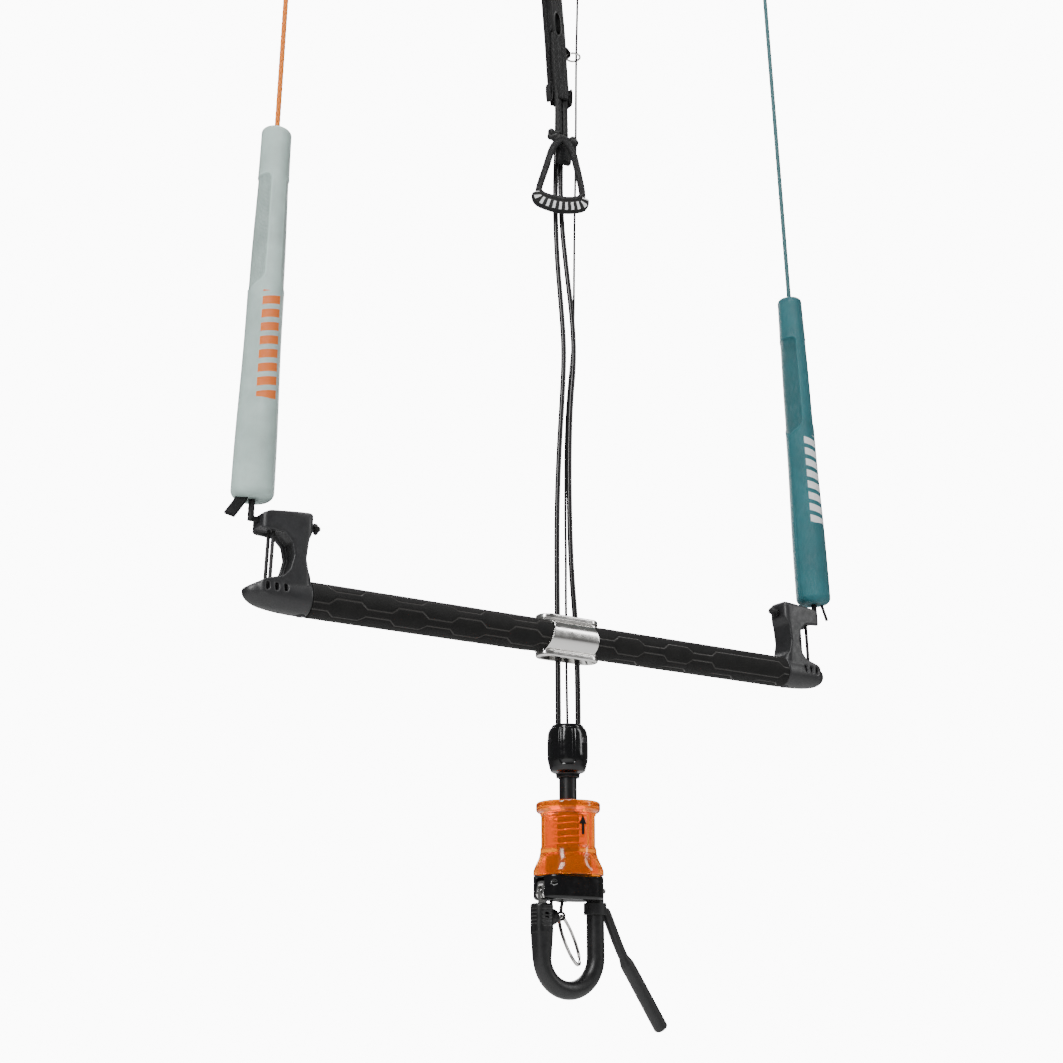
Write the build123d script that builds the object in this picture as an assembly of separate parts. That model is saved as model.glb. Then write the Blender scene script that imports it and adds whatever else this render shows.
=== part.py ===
from build123d import *
import os
from math import cos, radians, sin, tan

# A kitesurf control bar with its chicken loop, trim and line floats.
# Origin: centre of the bar's line hole. X runs along the bar, Y away from the
# rider, Z up towards the kite. All sizes are in millimetres.

os.makedirs("parts", exist_ok=True)

# ---------------------------------------------------------------- the bar
BAR_TIP = 265.0            # half of the bar's length, tip to tip
GRIP_END = 218.0           # where the grips meet the bar ends
GRIP_RADIUS = 12.5
GRIP_START = 12.0          # the grips run in under the steel insert's sleeve
TUBE_RADIUS = 10.0
TUBE_BORE = 8.0
TUBE_END = 226.0
FIT = 0.05                 # radial clearance of pieces fixed in each other

# the flared slot through the bar, and the steel insert that lines it
WAIST_X, WAIST_Y = 13.95, 4.6      # half length and half width at mid height
LIP_X, LIP_Y = 23.0, 6.4           # the same at the lips
LIP_Z = 16.5                       # height of the lips above the bar's axis
THROAT_X, THROAT_Y = 27.0, 7.2     # outside of the insert's throat
LIP_RIM_Y = 9.0                    # outside of the rims
SLEEVE_IN, SLEEVE_OUT = 12.6, 13.8  # the insert's sleeve round the grips
SLEEVE_LEFT_TOP, SLEEVE_LEFT_BOTTOM = -17.0, -25.0
SLEEVE_RIGHT = 21.0

# the wear ring that slides on the lines and lets the bar rock
GUIDE_X, GUIDE_Y, GUIDE_Z = 13.6, 4.3, 3.0
GUIDE_HOLE_X, GUIDE_HOLE_Y = 12.6, 3.35

# bar ends: a tail, an upright and an arm over a winding gap
TAIL_BOTTOM = -13.0
ARM_IN, ARM_OUT = 218.5, 257.0
ARM_TOP_IN, ARM_TOP_OUT = 60.5, 56.5
ARM_BOTTOM = 42.0
END_HALF_DEPTH = 10.8
ROPE_Z = 51.0              # the leader line's channel through the arm
SPIGOT_START = 203.0
END_SCREW_X = 222.0

# ---------------------------------------------------------------- outer lines
EXIT_X = 262.0             # a leader line turns upward here, beyond the arm
LINE_TOP = 702.0
LEADER_DIAMETER = 4.0
LEAN = {"left": 3.0, "right": 9.5}   # how far inward each line stands at the top of its float
FLOAT_BOTTOM, FLOAT_TOP = 64.0, 352.5
FLOAT_RADIUS_BOTTOM, FLOAT_RADIUS_TOP = 14.8, 10.9
FLOAT_BORE = 2.3
SIDES = {"left": -1, "right": 1}

# ---------------------------------------------------------------- centre lines
DEPOWER_DIAMETER = 4.3
SAFETY_DIAMETER = 2.0
DEPOWER_LEFT = [
    (-9.0, -1.0, -76.0), (-9.0, -1.0, -20.0), (-9.6, -1.0, 42.0), (-9.3, -1.0, 102.0),
    (-6.8, -1.0, 155.0), (-3.2, -0.8, 200.0), (-0.3, 0.4, 240.0), (-1.6, 2.0, 276.0),
    (-4.6, 3.5, 320.0), (-5.8, 4.2, 365.0), (-5.2, 4.2, 409.0), (-3.0, 4.2, 447.0),
    (-3.0, 4.2, 485.0),
]
DEPOWER_RIGHT = [
    (9.0, -1.0, -76.0), (9.3, -1.0, -32.0), (7.6, -1.0, 14.0), (4.0, -1.0, 54.0),
    (2.6, -1.0, 100.0), (2.6, -1.0, 146.0), (4.2, -1.0, 193.0), (9.0, -0.5, 234.0),
    (8.8, 1.7, 273.0), (4.6, 3.5, 315.0), (0.2, 4.2, 360.0), (-0.4, 4.2, 405.0),
    (2.0, 4.2, 447.0), (2.0, 4.2, 485.0),
]
SAFETY_LINE = [
    (0.0, 0.0, -76.0), (0.0, 0.4, -50.0), (0.9, 2.2, -24.0), (1.1, 2.2, 4.0),
    (0.8, 2.2, 34.0), (1.2, 2.2, 64.0), (0.9, 2.2, 94.0), (1.1, 2.2, 124.0),
    (1.4, 2.2, 154.0), (2.8, 2.2, 184.0), (5.7, 2.4, 214.0), (10.4, 4.1, 244.0),
    (12.9, 5.2, 274.0), (13.8, 5.8, 304.0), (14.2, 5.6, 334.0), (14.4, 5.0, 364.0),
    (14.8, 4.2, 394.0), (14.9, 3.2, 424.0), (14.8, 2.2, 454.0), (14.5, 1.2, 484.0),
    (14.4, 0.4, 514.0), (15.0, 0.0, 544.0), (16.0, -0.2, 574.0), (16.8, 0.0, 602.0),
]

# ---------------------------------------------------------------- trim
STRAP_WIDTH = 13.0
STRAP_THICKNESS = 1.2
STRAP_FRONT_Y, STRAP_BACK_Y = -6.0, 6.6      # front face, and inner face of the back
STRAP_CENTRE = [(-3.0, 470.0), (-6.0, 510.0), (-8.5, 545.0), (-11.0, 580.0), (-12.0, 598.0)]
STRAP_EYE = (-9.0, 542.0)
TRIM_ROPE_DIAMETER = 6.0
TRIM_ROPE_Y = -1.6
TRIM_ROPE_GAP = 3.1                          # half distance between the ropes
TRIM_ROPE_CENTRE = [(-2.6, 437.2), (-3.0, 472.0), (-5.0, 504.0), (-7.0, 535.0)]
KNOT_Z = 434.2
KNOT_LEFT, KNOT_RIGHT = -11.5, 8.5
HANDLE_CENTRE = (-7.6, -6.2)
HANDLE_TURN = -20.0
GUIDE_RING_CENTRE = (10.8, 0.0, 520.0)
GUIDE_RING_RADIUS, GUIDE_RING_WIRE = 6.0, 0.9

# ---------------------------------------------------------------- swivel and release
SWIVEL_TOP, SWIVEL_BOTTOM = -69.0, -102.0
CAVITY_RADIUS, CAVITY_FLOOR = 12.6, -85.5
SWIVEL_FLATS = (115, 235, 355)       # degrees from +X, of the flats round the barrel
SWIVEL_SCREWS = (55, 175, 295)       # and of the screws that hold the cap
BEARING_FLOOR, BEARING_TOP = -97.0, -91.5
SHAFT_RADIUS = 6.6
SLEEVE_TOP, SLEEVE_BOTTOM = -123.5, -176.5
LEDGE_TOP, LEDGE_BOTTOM = -158.0, -161.0
COLLAR_TOP, COLLAR_BOTTOM = -129.0, -132.0
BASE_TOP, BASE_BOTTOM = -177.0, -194.0
BASE_HALF_X, BASE_HALF_Y = 25.5, 17.0

# ---------------------------------------------------------------- chicken loop
LEG_X = 23.5                    # the legs' centre lines
LOOP_RADIUS = 6.5
PIN_Z = -187.0
BEND_Z = -233.0                 # centre of the loop's half-round bottom
PIN_RADIUS = 2.0
CAP_TOP, CAP_BOTTOM = -196.5, -217.0
LATCH_X, LATCH_Z = -21.5, -182.4
FINGER_PATH = [(29.5, -199.0), (35.0, -206.0), (47.5, -231.0), (83.0, -284.0)]
FINGER_THIN, FINGER_THICK = 3.5, 5.2
COLLAR_Z = (-203.5, -195.0)

# ---------------------------------------------------------------- leash ring
LUG = (7.5, 19.6)               # the outlet at the back of the base for the ring's cord
LUG_RADIUS = 4.5
BALL = (-5.6, 14.2, -205.0)
BALL_RADIUS = 6.0
RING_RADIUS, RING_WIRE = 18.5, 1.2
RING_PIVOT = (11.2, 26.4, -203.5)
RING_TILT = 20.0                # from hanging straight down, towards +X
RING_TURN = 47.5                # of the ring's wire at the pivot, from +Y towards +X


def save(node, shape):
    """Write one sub-part to parts/NODE.step."""
    shape.label = node
    export_step(shape, f"parts/{node}.step")


def rod(radius, low, high, at=(0.0, 0.0)):
    """A vertical round bar between two heights."""
    middle = Pos(at[0], at[1], (low + high) / 2)
    return middle * Cylinder(radius, high - low)


def bar_rod(radius, start, end):
    """A round bar along X, on the control bar's axis."""
    return Pos((start + end) / 2, 0, 0) * Rot(0, 90, 0) * Cylinder(radius, end - start)


def slab(x, y, z):
    """A box between the given (low, high) pairs."""
    size = [high - low for low, high in (x, y, z)]
    return Pos(*(sum(pair) / 2 for pair in (x, y, z))) * Box(*size)


def stadium(half_x, half_y, z):
    """A round-ended slot outline at height z."""
    return Pos(0, 0, z) * SlotOverall(2 * half_x, 2 * half_y)


def stadium_prism(half_x, half_y, low, high):
    return extrude(stadium(half_x, half_y, low), high - low)


def revolved(profile):
    """A solid of revolution about Z from (radius, z) points."""
    outline = Polyline(*[(r, 0, z) for r, z in profile], close=True)
    return revolve(make_face(outline), Axis.Z)


def cord(points, diameter, name):
    """A tube along straight runs joined by large tangent arcs."""
    corners = [Vector(*p) for p in points]
    radii = []
    for before, here, after in zip(corners, corners[1:], corners[2:]):
        turn = (here - before).get_angle(after - here)
        shorter = min((here - before).length, (after - here).length)
        radii.append(0.45 * shorter / tan(radians(turn) / 2))
    path = FilletPolyline(*corners, radius=radii)
    section = Plane(path @ 0, z_dir=path % 0) * Circle(diameter / 2)
    tube = sweep(section, path=path)
    ideal = Circle(diameter / 2).area * path.length
    print(f"{name}: length {path.length:.1f}, smallest radius {min(radii):.0f}, "
          f"volume {tube.volume / ideal:.3f} of section times length")
    return tube


def two(shape):
    """The shape and its mirror image across the bar's middle, as one group."""
    return Compound(children=[shape, mirror(shape, Plane.YZ)])


# ================================================================= bar
def bar_tube():
    tube = bar_rod(TUBE_RADIUS, -TUBE_END, TUBE_END) - bar_rod(TUBE_BORE, -TUBE_END, TUBE_END)
    tube -= stadium_prism(THROAT_X + 0.3, THROAT_Y + 0.2, -20, 20)
    for side in SIDES.values():
        tube -= rod(1.65, -14, 0, (side * END_SCREW_X, 0))
    return tube


def grip(side):
    ends = sorted((side * GRIP_START, side * GRIP_END))
    body = bar_rod(GRIP_RADIUS, *ends) - bar_rod(TUBE_RADIUS + FIT, *ends)
    return body - stadium_prism(THROAT_X + 0.3, THROAT_Y + 0.2, -20, 20)


def hole_insert():
    sleeve = bar_rod(SLEEVE_OUT, -32, 32) - bar_rod(SLEEVE_IN, -32, 32)
    left = Polyline((SLEEVE_LEFT_TOP, 0, SLEEVE_OUT), (40, 0, SLEEVE_OUT), (40, 0, -SLEEVE_OUT),
                    (SLEEVE_LEFT_BOTTOM, 0, -SLEEVE_OUT), close=True)
    keep_left = extrude(make_face(left), 20, both=True)
    bulge = 34.0
    keep_right = Pos(SLEEVE_RIGHT - bulge, 0, -2) * Rot(90, 0, 0) * Cylinder(bulge, 40)
    sleeve = sleeve & (keep_left & keep_right)
    throat = stadium_prism(THROAT_X, THROAT_Y, -LIP_Z + 1, LIP_Z - 1)
    rim = stadium_prism(THROAT_X, LIP_RIM_Y, SLEEVE_IN, LIP_Z)
    rim = fillet(rim.edges().group_by(Axis.Z)[-1], 1.6)
    flare = loft([stadium(WAIST_X, WAIST_Y, 0), stadium(LIP_X, LIP_Y, LIP_Z)])
    flare += mirror(flare, Plane.XY)
    return sleeve + throat + rim + mirror(rim, Plane.XY) - flare


def line_guide():
    ring = stadium_prism(GUIDE_X, GUIDE_Y, -GUIDE_Z, GUIDE_Z)
    ring = ring & (Rot(90, 0, 0) * Cylinder(GUIDE_X, 20))
    return ring - stadium_prism(GUIDE_HOLE_X, GUIDE_HOLE_Y, -GUIDE_Z, GUIDE_Z)


def bar_end():
    """The right-hand end."""
    outline = [
        (GRIP_END, TAIL_BOTTOM), (BAR_TIP, TAIL_BOTTOM), (BAR_TIP, 1.0), (BAR_TIP - 2.5, 3.0),
        (252, 8.5), (240, 12), (235.5, 17), (233, 27), (235, 36), (241, ARM_BOTTOM),
        (ARM_OUT, ARM_BOTTOM + 1), (ARM_OUT, ARM_TOP_OUT - 2.5), (ARM_OUT - 5, ARM_TOP_OUT),
        (ARM_IN + 2, ARM_TOP_IN), (ARM_IN, ARM_TOP_IN - 3), (ARM_IN, 47), (222, 40),
        (223.5, 26), (221.5, 17), (GRIP_END, 12.6),
    ]
    face = make_face(Polyline(*[(x, 0, z) for x, z in outline], close=True))
    side_view = extrude(face, 15, both=True)
    nose = Spline((226, 0, 12.6), (240, 0, 12.0), (250, 0, 10.8), (258, 0, 8.6), (263, 0, 5.2),
                  (BAR_TIP, 0, 0), tangents=((1, 0, 0), (0, 0, -1)))
    shank = Polyline((BAR_TIP, 0, 0), (GRIP_END, 0, 0), (GRIP_END, 0, 12.6), (226, 0, 12.6))
    torpedo = revolve(make_face(nose + shank), Axis.X)
    depth = 2 * END_HALF_DEPTH
    end_view = Plane.YZ.offset(200) * Pos(0, 20.25) * extrude(RectangleRounded(depth, 80.5, 5.5), 80)
    arm_length = ARM_OUT + 0.6 - ARM_IN
    plan = Pos(ARM_IN + arm_length / 2, 0, -2) * extrude(
        RectangleRounded(arm_length, depth, 5.0), 70)
    body = (side_view & torpedo) + (side_view & end_view & plan)
    body -= bar_rod(TUBE_RADIUS + FIT, GRIP_END - 5, TUBE_END + 0.1)
    body += bar_rod(TUBE_BORE - FIT, SPIGOT_START, TUBE_END + 1)
    channel = Pos(0, 0, ROPE_Z) * bar_rod(LEADER_DIAMETER / 2 + 0.4, ARM_IN - 5, ARM_OUT + 5)
    body -= channel
    hollow = [(265, 9.5), (251, 6.5), (241, 8.5), (233.5, 15), (230.3, 27), (232.5, 38),
              (240, 44.5), (265, 45.5)]
    winding = make_face(Polyline(*[(x, 0, z) for x, z in hollow], close=True))
    body -= extrude(winding, 7.0, both=True)
    for x in (238.0, 244.5, 251.0):
        for y in (-10.5, 10.5):
            body -= slab((x - 1.2, x + 1.2), (y - 3.2, y + 3.2), (0.5, 6.0))
    screw_hole = rod(1.65, -14, 0, (END_SCREW_X, 0)) + rod(3.3, -16, -10.9, (END_SCREW_X, 0))
    return body - screw_hole


def end_screw():
    shank = rod(1.6, -11.1, -3.0, (END_SCREW_X, 0))
    head = rod(3.1, -12.6, -10.9, (END_SCREW_X, 0))
    socket = Pos(END_SCREW_X, 0, -12.8) * extrude(RegularPolygon(1.4, 6), 1.2)
    return shank + head - socket


def bungee(side):
    """Two elastic strands from under the arm to the tail."""
    low, high = (side * 247.5, 7.3), (side * 246.5, ARM_BOTTOM + 2.7)
    strands = []
    for y in (-4.0, 4.0):
        path = Line((low[0], y, low[1]), (high[0], y, high[1]))
        strands.append(sweep(Plane(path @ 0, z_dir=path % 0) * Circle(1.25), path=path))
    return Compound(children=strands)


def leader_anchor():
    """The leader line's tail through the arm, with its stopper knot; right-hand side."""
    rope_end = EXIT_X - LEADER_DIAMETER / 2 - 1.7
    rope = Pos(0, 0, ROPE_Z) * bar_rod(LEADER_DIAMETER / 2, ARM_IN - 4, rope_end)
    knot = Pos(ARM_IN - 4.4, 0, ROPE_Z + 0.5) * Sphere(4.3)
    return rope + knot


# ================================================================= outer lines
def leader_frame(side_name):
    """A plane at the line's exit whose Z runs up the leaning line."""
    side = SIDES[side_name]
    rise = FLOAT_TOP - ROPE_Z
    up = Vector(-side * LEAN[side_name], 0, rise)
    return Plane((side * EXIT_X, 0, ROPE_Z), x_dir=(1, 0, side * LEAN[side_name] / rise), z_dir=up)


def leader_line(side_name):
    frame = leader_frame(side_name)
    length = LINE_TOP - ROPE_Z
    rope = rod(LEADER_DIAMETER / 2, 0, length) + Sphere(LEADER_DIAMETER / 2)
    return frame * rope


def leader_loop(side_name):
    """The stopper knot and eye at the line's upper end."""
    frame = leader_frame(side_name)
    top = LINE_TOP - ROPE_Z
    knot = Pos(0, 0, top + 4.5) * Sphere(4.5)
    eye = Pos(0, 0, top + 19) * Rot(90, 0, 0) * Torus(11, 1.9)
    return frame * (knot + eye)


def line_float(side_name):
    frame = leader_frame(side_name)
    low, high = FLOAT_BOTTOM - ROPE_Z, FLOAT_TOP - ROPE_Z
    body = revolved([(0, low), (FLOAT_RADIUS_BOTTOM, low), (FLOAT_RADIUS_TOP, high), (0, high)])
    body = fillet(body.edges().group_by(Axis.Z)[0], 6)
    body = fillet(body.edges().group_by(Axis.Z)[-1], 3)
    return frame * (body - rod(FLOAT_BORE, low - 1, high + 1))


def float_tab():
    """A webbing pull tab out of the left float's foot, pointing outward and down."""
    tab = Box(2.2, 9.0, 26.0)
    tab = fillet(tab.edges().filter_by(Axis.X), 1.5)
    return Pos(-272.4, -1.5, 61.5) * Rot(0, 28, 0) * Rot(0, 0, 55) * tab


def float_tail():
    """A thin cord tail out of the right float's foot."""
    path = Line((265.5, -2.0, 74.0), (273.5, -3.0, 50.0))
    return sweep(Plane(path @ 0, z_dir=path % 0) * Circle(1.3), path=path)


# ================================================================= trim
def strap_outline(width):
    """The strap's leaning outline, seen from the front."""
    left = [(x - width / 2, z) for x, z in STRAP_CENTRE]
    right = [(x + width / 2, z) for x, z in STRAP_CENTRE]
    return make_face(Polyline(*[(x, 0, z) for x, z in left + right[::-1]], close=True))


def trim_strap():
    """One band, folded over at its top, with an eye in its front layer."""
    whole = extrude(strap_outline(STRAP_WIDTH), 30, both=True)
    top_x, top_z = STRAP_CENTRE[-1]
    front, back = STRAP_FRONT_Y, STRAP_BACK_Y + STRAP_THICKNESS
    middle, radius = (front + back) / 2, (back - front) / 2
    front_box = slab((-60, 60), (front, front + STRAP_THICKNESS), (460, top_z + 1))
    eye = Pos(STRAP_EYE[0], 0, STRAP_EYE[1]) * Rot(90, 0, 0) * extrude(
        SlotOverall(24, 7.5, rotation=90), 30, both=True)
    layers = whole & (front_box - eye)
    layers += whole & slab((-60, 60), (STRAP_BACK_Y, back), (460, top_z + 1))
    across = Pos(top_x, middle, top_z) * Rot(0, 90, 0)
    fold = across * (Cylinder(radius, STRAP_WIDTH) - Cylinder(radius - STRAP_THICKNESS, 40))
    fold = fold & slab((-60, 60), (-20, 20), (top_z, top_z + 20))
    return layers + fold


def front_line_loop():
    """The rope eye through the strap's fold, for the front lines."""
    top_x, top_z = STRAP_CENTRE[-1]
    return Pos(top_x, 0.9, top_z + 14.5) * Rot(90, 0, 0) * Torus(14, 2.4)


def strap_keepers():
    """Elastic keepers at both edges of the strap's foot."""
    ears = []
    for x in (-13.3, 6.8):
        ear = Pos(x, 0.9, 477) * Box(4.2, 9, 20)
        ears.append(fillet(ear.edges().filter_by(Axis.Y), 1.8))
    return Compound(children=ears)


def ring_tab():
    """The webbing tab that holds the guide ring to the strap."""
    tab = slab((0.4, 7.0), (-2.5, 2.5), (513.5, 526.5))
    return fillet(tab.edges().filter_by(Axis.Y), 1.5)


def guide_ring():
    return Pos(*GUIDE_RING_CENTRE) * Torus(GUIDE_RING_RADIUS, GUIDE_RING_WIRE)


def safety_loop():
    """The knot and eye at the safety line's upper end."""
    x, y, z = SAFETY_LINE[-1]
    knot = Pos(x, y, z + 2.6) * Sphere(2.8)
    return knot + Pos(x, y, z + 11.8) * Rot(90, 0, 0) * Torus(7, 1.0)


def trim_rope(side):
    route = [(x + side * TRIM_ROPE_GAP, TRIM_ROPE_Y, z) for x, z in TRIM_ROPE_CENTRE]
    return cord(route, TRIM_ROPE_DIAMETER, "trim rope")


def trim_knots():
    bridge = Pos((KNOT_LEFT + KNOT_RIGHT) / 2, TRIM_ROPE_Y, KNOT_Z) * Rot(0, 90, 0)
    body = bridge * Cylinder(3.0, KNOT_RIGHT - KNOT_LEFT)
    for x in (KNOT_LEFT, KNOT_RIGHT):
        body += Pos(x, TRIM_ROPE_Y, KNOT_Z) * Sphere(4.3)
    return body


def handle_tongue():
    tongue = slab((-8.4, 5.8), (-4.4, 1.0), (410, 430.9))
    return fillet(tongue.edges().filter_by(Axis.Y), 2)


def pull_handle():
    """A triangular webbing grip, turned a little about Z."""
    outer = [(-1, 433), (9.5, 431), (13.5, 424), (21, 386), (21.5, 372), (14, 362.5),
             (-14, 362.5), (-22, 371), (-21.5, 384), (-8, 425)]
    inner = [(1.5, 418), (6, 419.5), (8.8, 414), (15.8, 386), (15.6, 377),
             (10, 374.5), (-12, 374.5), (-16.4, 378), (-15.6, 385), (-4.5, 414)]
    faces = [make_face(Polyline(*[(x, 0, z) for x, z in points], close=True))
             for points in (outer, inner)]
    grip_body = extrude(faces[0], 1.8, both=True) - extrude(faces[1], 10, both=True)
    turned = Pos(HANDLE_CENTRE[0], HANDLE_CENTRE[1], 0) * Rot(0, 0, HANDLE_TURN)
    return turned * grip_body


# ================================================================= swivel
def swivel_housing():
    body = revolved([
        (0, SWIVEL_TOP), (13.4, SWIVEL_TOP), (14.7, -72), (15.3, -79), (15.2, -92),
        (13.6, -98.5), (12.6, SWIVEL_BOTTOM + 1), (9, SWIVEL_BOTTOM), (8.6, -105.5), (0, -105.5),
    ])
    body -= rod(CAVITY_RADIUS, CAVITY_FLOOR, SWIVEL_TOP + 1)
    body -= rod(9.7, BEARING_FLOOR, CAVITY_FLOOR + 1)
    body -= rod(SHAFT_RADIUS + 0.4, -106, BEARING_FLOOR + 1)
    for turn in SWIVEL_FLATS:
        body -= Rot(0, 0, turn) * (Pos(20.2, 0, -85) * Box(10.4, 11, 22))
    for turn in SWIVEL_SCREWS:
        body -= Rot(0, 0, turn) * Pos(14, 0, -79) * Rot(0, 90, 0) * Cylinder(1.85, 6)
    return body


def swivel_cap():
    cap = revolved([(0, -73), (CAVITY_RADIUS - 0.1, -73), (CAVITY_RADIUS - 0.1, -68.4),
                    (11.6, -66.4), (8, -65.6), (0, -65.6)])
    for x in (DEPOWER_LEFT[0][0], DEPOWER_RIGHT[0][0] + 0.05):
        cap -= rod(DEPOWER_DIAMETER / 2 + 0.1, -80, -60, (x, DEPOWER_LEFT[0][1]))
    return cap - rod(SAFETY_DIAMETER / 2 + 0.15, -80, -60, (0, 0.1))


def swivel_screws():
    screw = Pos(14.0, 0, -79) * Rot(0, 90, 0) * Cylinder(1.8, 1.6)
    return Compound(children=[Rot(0, 0, turn) * screw for turn in SWIVEL_SCREWS])


def line_end_stops():
    """Crimped stoppers on the three lines, inside the swivel housing."""
    stops = [rod(2.9, -84.5, -76.1, (x, -1.0)) for x in (-9.0, 9.0)]
    stops.append(rod(2.2, -84.5, -76.1))
    return Compound(children=stops)


def swivel_bearing():
    return rod(9.6, BEARING_FLOOR, BEARING_TOP) - rod(SHAFT_RADIUS + 0.3, -100, -90)


def swivel_shaft():
    shaft = rod(SHAFT_RADIUS, -176, -87) + rod(9.2, BEARING_TOP + 0.3, -87)
    return shaft


# ================================================================= release
def release_core():
    """The fixed post, with the spring's collar above and a wide foot below."""
    core = rod(8.0, -176, COLLAR_BOTTOM) + rod(12.4, COLLAR_BOTTOM, COLLAR_TOP)
    core += rod(17.0, BASE_TOP, LEDGE_BOTTOM - 2)
    return core - rod(SHAFT_RADIUS + FIT, -176, COLLAR_TOP + 1)


def release_sleeve():
    body = revolved([
        (0, SLEEVE_TOP), (22.6, SLEEVE_TOP), (23.75, -124.8), (23.75, -129.6), (22.6, -131),
        (20.6, -131.8), (20.5, -158), (21.2, -163), (24.6, -170), (25.75, -173),
        (25.75, SLEEVE_BOTTOM), (0, SLEEVE_BOTTOM),
    ])
    body -= rod(17.7, LEDGE_TOP, SLEEVE_TOP - 4)
    body -= revolved([(0, LEDGE_BOTTOM), (17.7, LEDGE_BOTTOM), (19.0, -164), (22.4, -171),
                      (22.8, SLEEVE_BOTTOM - 1), (0, SLEEVE_BOTTOM - 1)])
    body -= rod(SHAFT_RADIUS + 0.5, -130, SLEEVE_TOP + 1)
    body -= rod(8.5, LEDGE_BOTTOM - 1, LEDGE_TOP + 1)
    for turn in range(0, 360, 60):
        panel = Rot(0, 0, turn + 30) * (Pos(21.4, 0, -145) * Box(3.4, 13, 22))
        body -= panel
    return body


def release_spring():
    """Presses the sleeve down, from the collar to the ledge."""
    wire = 0.75
    low, high = LEDGE_TOP + wire + 0.1, COLLAR_BOTTOM - wire - 0.1
    path = Pos(0, 0, low) * Helix(pitch=(high - low) / 5, height=high - low, radius=11.4)
    return sweep(Plane(path @ 0, z_dir=path % 0) * Circle(wire), path=path)


def release_base():
    body = slab((-BASE_HALF_X, BASE_HALF_X), (-BASE_HALF_Y, BASE_HALF_Y), (BASE_BOTTOM, BASE_TOP))
    body = fillet(body.edges().filter_by(Axis.Z), 13)
    body = fillet(body.edges().group_by(Axis.Z)[0], 2.5)
    body -= slab((16.6, 30), (-7.0, 7.0), (BASE_BOTTOM - 1, PIN_Z + 7.0))
    body -= slab((-30, -15.5), (-5.4, 5.4), (BASE_BOTTOM - 1, BASE_TOP - 1.5))
    body -= Pos(LEG_X, 0, PIN_Z) * Rot(90, 0, 0) * Cylinder(PIN_RADIUS + FIT, 40)
    body -= Pos(LATCH_X, 0, LATCH_Z) * Rot(90, 0, 0) * Cylinder(1.5 + FIT, 40)
    lug = rod(LUG_RADIUS, BASE_BOTTOM, BASE_BOTTOM + 9, LUG)
    lug = fillet(lug.edges().group_by(Axis.Z)[0], 1.2)
    return body + lug - rod(1.5, BASE_BOTTOM - 1, BASE_BOTTOM + 6, LUG)


def loop_pin():
    return Pos(LEG_X, 0, PIN_Z) * Rot(90, 0, 0) * Cylinder(PIN_RADIUS, 22)


def latch_pin():
    return Pos(LATCH_X, 0, LATCH_Z) * Rot(90, 0, 0) * Cylinder(1.5, 22)


def latch_hook():
    """Two steel cheeks beside the loop's tongue, on one barrel."""
    outline = [(-1.4, 2.6), (1.4, 2.6), (2.7, 1.0), (3.0, -2.0), (1.6, -9.0), (-2.6, -10.6),
               (-4.2, -7.8), (-3.2, -2.0), (-2.7, 1.0)]
    face = make_face(Polyline(*[(x, 0, z) for x, z in outline], close=True))
    hook = Pos(0, 3.8, 0) * extrude(face, 1.1, both=True)
    hook += Pos(0, -3.8, 0) * extrude(face, 1.1, both=True)
    hook += Rot(90, 0, 0) * Cylinder(2.7, 7.6)
    hook -= Rot(90, 0, 0) * Cylinder(1.55, 20)
    return Pos(LATCH_X, 0, LATCH_Z) * hook


# ================================================================= chicken loop
def loop_tube():
    """A U of stiff tube, hinged at its right end and closed into a cap at its left."""
    path = Line((-LEG_X, 0, CAP_TOP - 6), (-LEG_X, 0, BEND_Z))
    path += ThreePointArc((-LEG_X, 0, BEND_Z), (0, 0, BEND_Z - LEG_X), (LEG_X, 0, BEND_Z))
    path += Line((LEG_X, 0, BEND_Z), (LEG_X, 0, PIN_Z))
    tube = sweep(Plane((-LEG_X, 0, CAP_TOP - 6), z_dir=(0, 0, -1)) * Circle(LOOP_RADIUS), path=path)
    tube += Pos(LEG_X, 0, PIN_Z) * Sphere(LOOP_RADIUS)
    return tube - Pos(LEG_X, 0, PIN_Z) * Rot(90, 0, 0) * Cylinder(PIN_RADIUS + FIT, 40)


def loop_end_cap():
    """The ridged grip on the loop's free end."""
    cap = slab((-LEG_X - 7.6, -LEG_X + 7.6), (-6.9, 6.9), (CAP_BOTTOM, CAP_TOP))
    cap = fillet(cap.edges().filter_by(Axis.Z), 5)
    cap = fillet(cap.edges().group_by(Axis.Z)[-1], 2)
    for index in range(5):
        z = CAP_TOP - 4.5 - 2.6 * index
        cap -= slab((-LEG_X - 9, -LEG_X - 6.9), (-8, 8), (z - 0.6, z + 0.6))
        cap -= slab((-LEG_X - 9, -LEG_X + 5), (-8, -6.4), (z - 0.6, z + 0.6))
    cap -= rod(LOOP_RADIUS + FIT, CAP_BOTTOM - 1, CAP_TOP - 6, (-LEG_X, 0))
    return cap - slab((-LEG_X - 2.5, -LEG_X + 3.5), (-1.9, 1.9), (CAP_TOP - 5, CAP_TOP + 1))


def loop_tongue():
    """The steel tongue that the latch holds."""
    tongue = slab((-LEG_X - 2.4, -LEG_X + 3.4), (-1.8, 1.8), (CAP_TOP - 4.9, PIN_Z + 0.6))
    tongue = fillet(tongue.edges().filter_by(Axis.Y).group_by(Axis.Z)[-1], 2)
    return tongue - Pos(-LEG_X + 0.5, 0, PIN_Z - 3.4) * Rot(90, 0, 0) * Cylinder(1.5, 10)


def finger_collar():
    low, high = COLLAR_Z
    return rod(8.4, low, high, (LEG_X, 0)) - rod(LOOP_RADIUS + 0.3, low - 1, high + 1, (LEG_X, 0))


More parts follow.
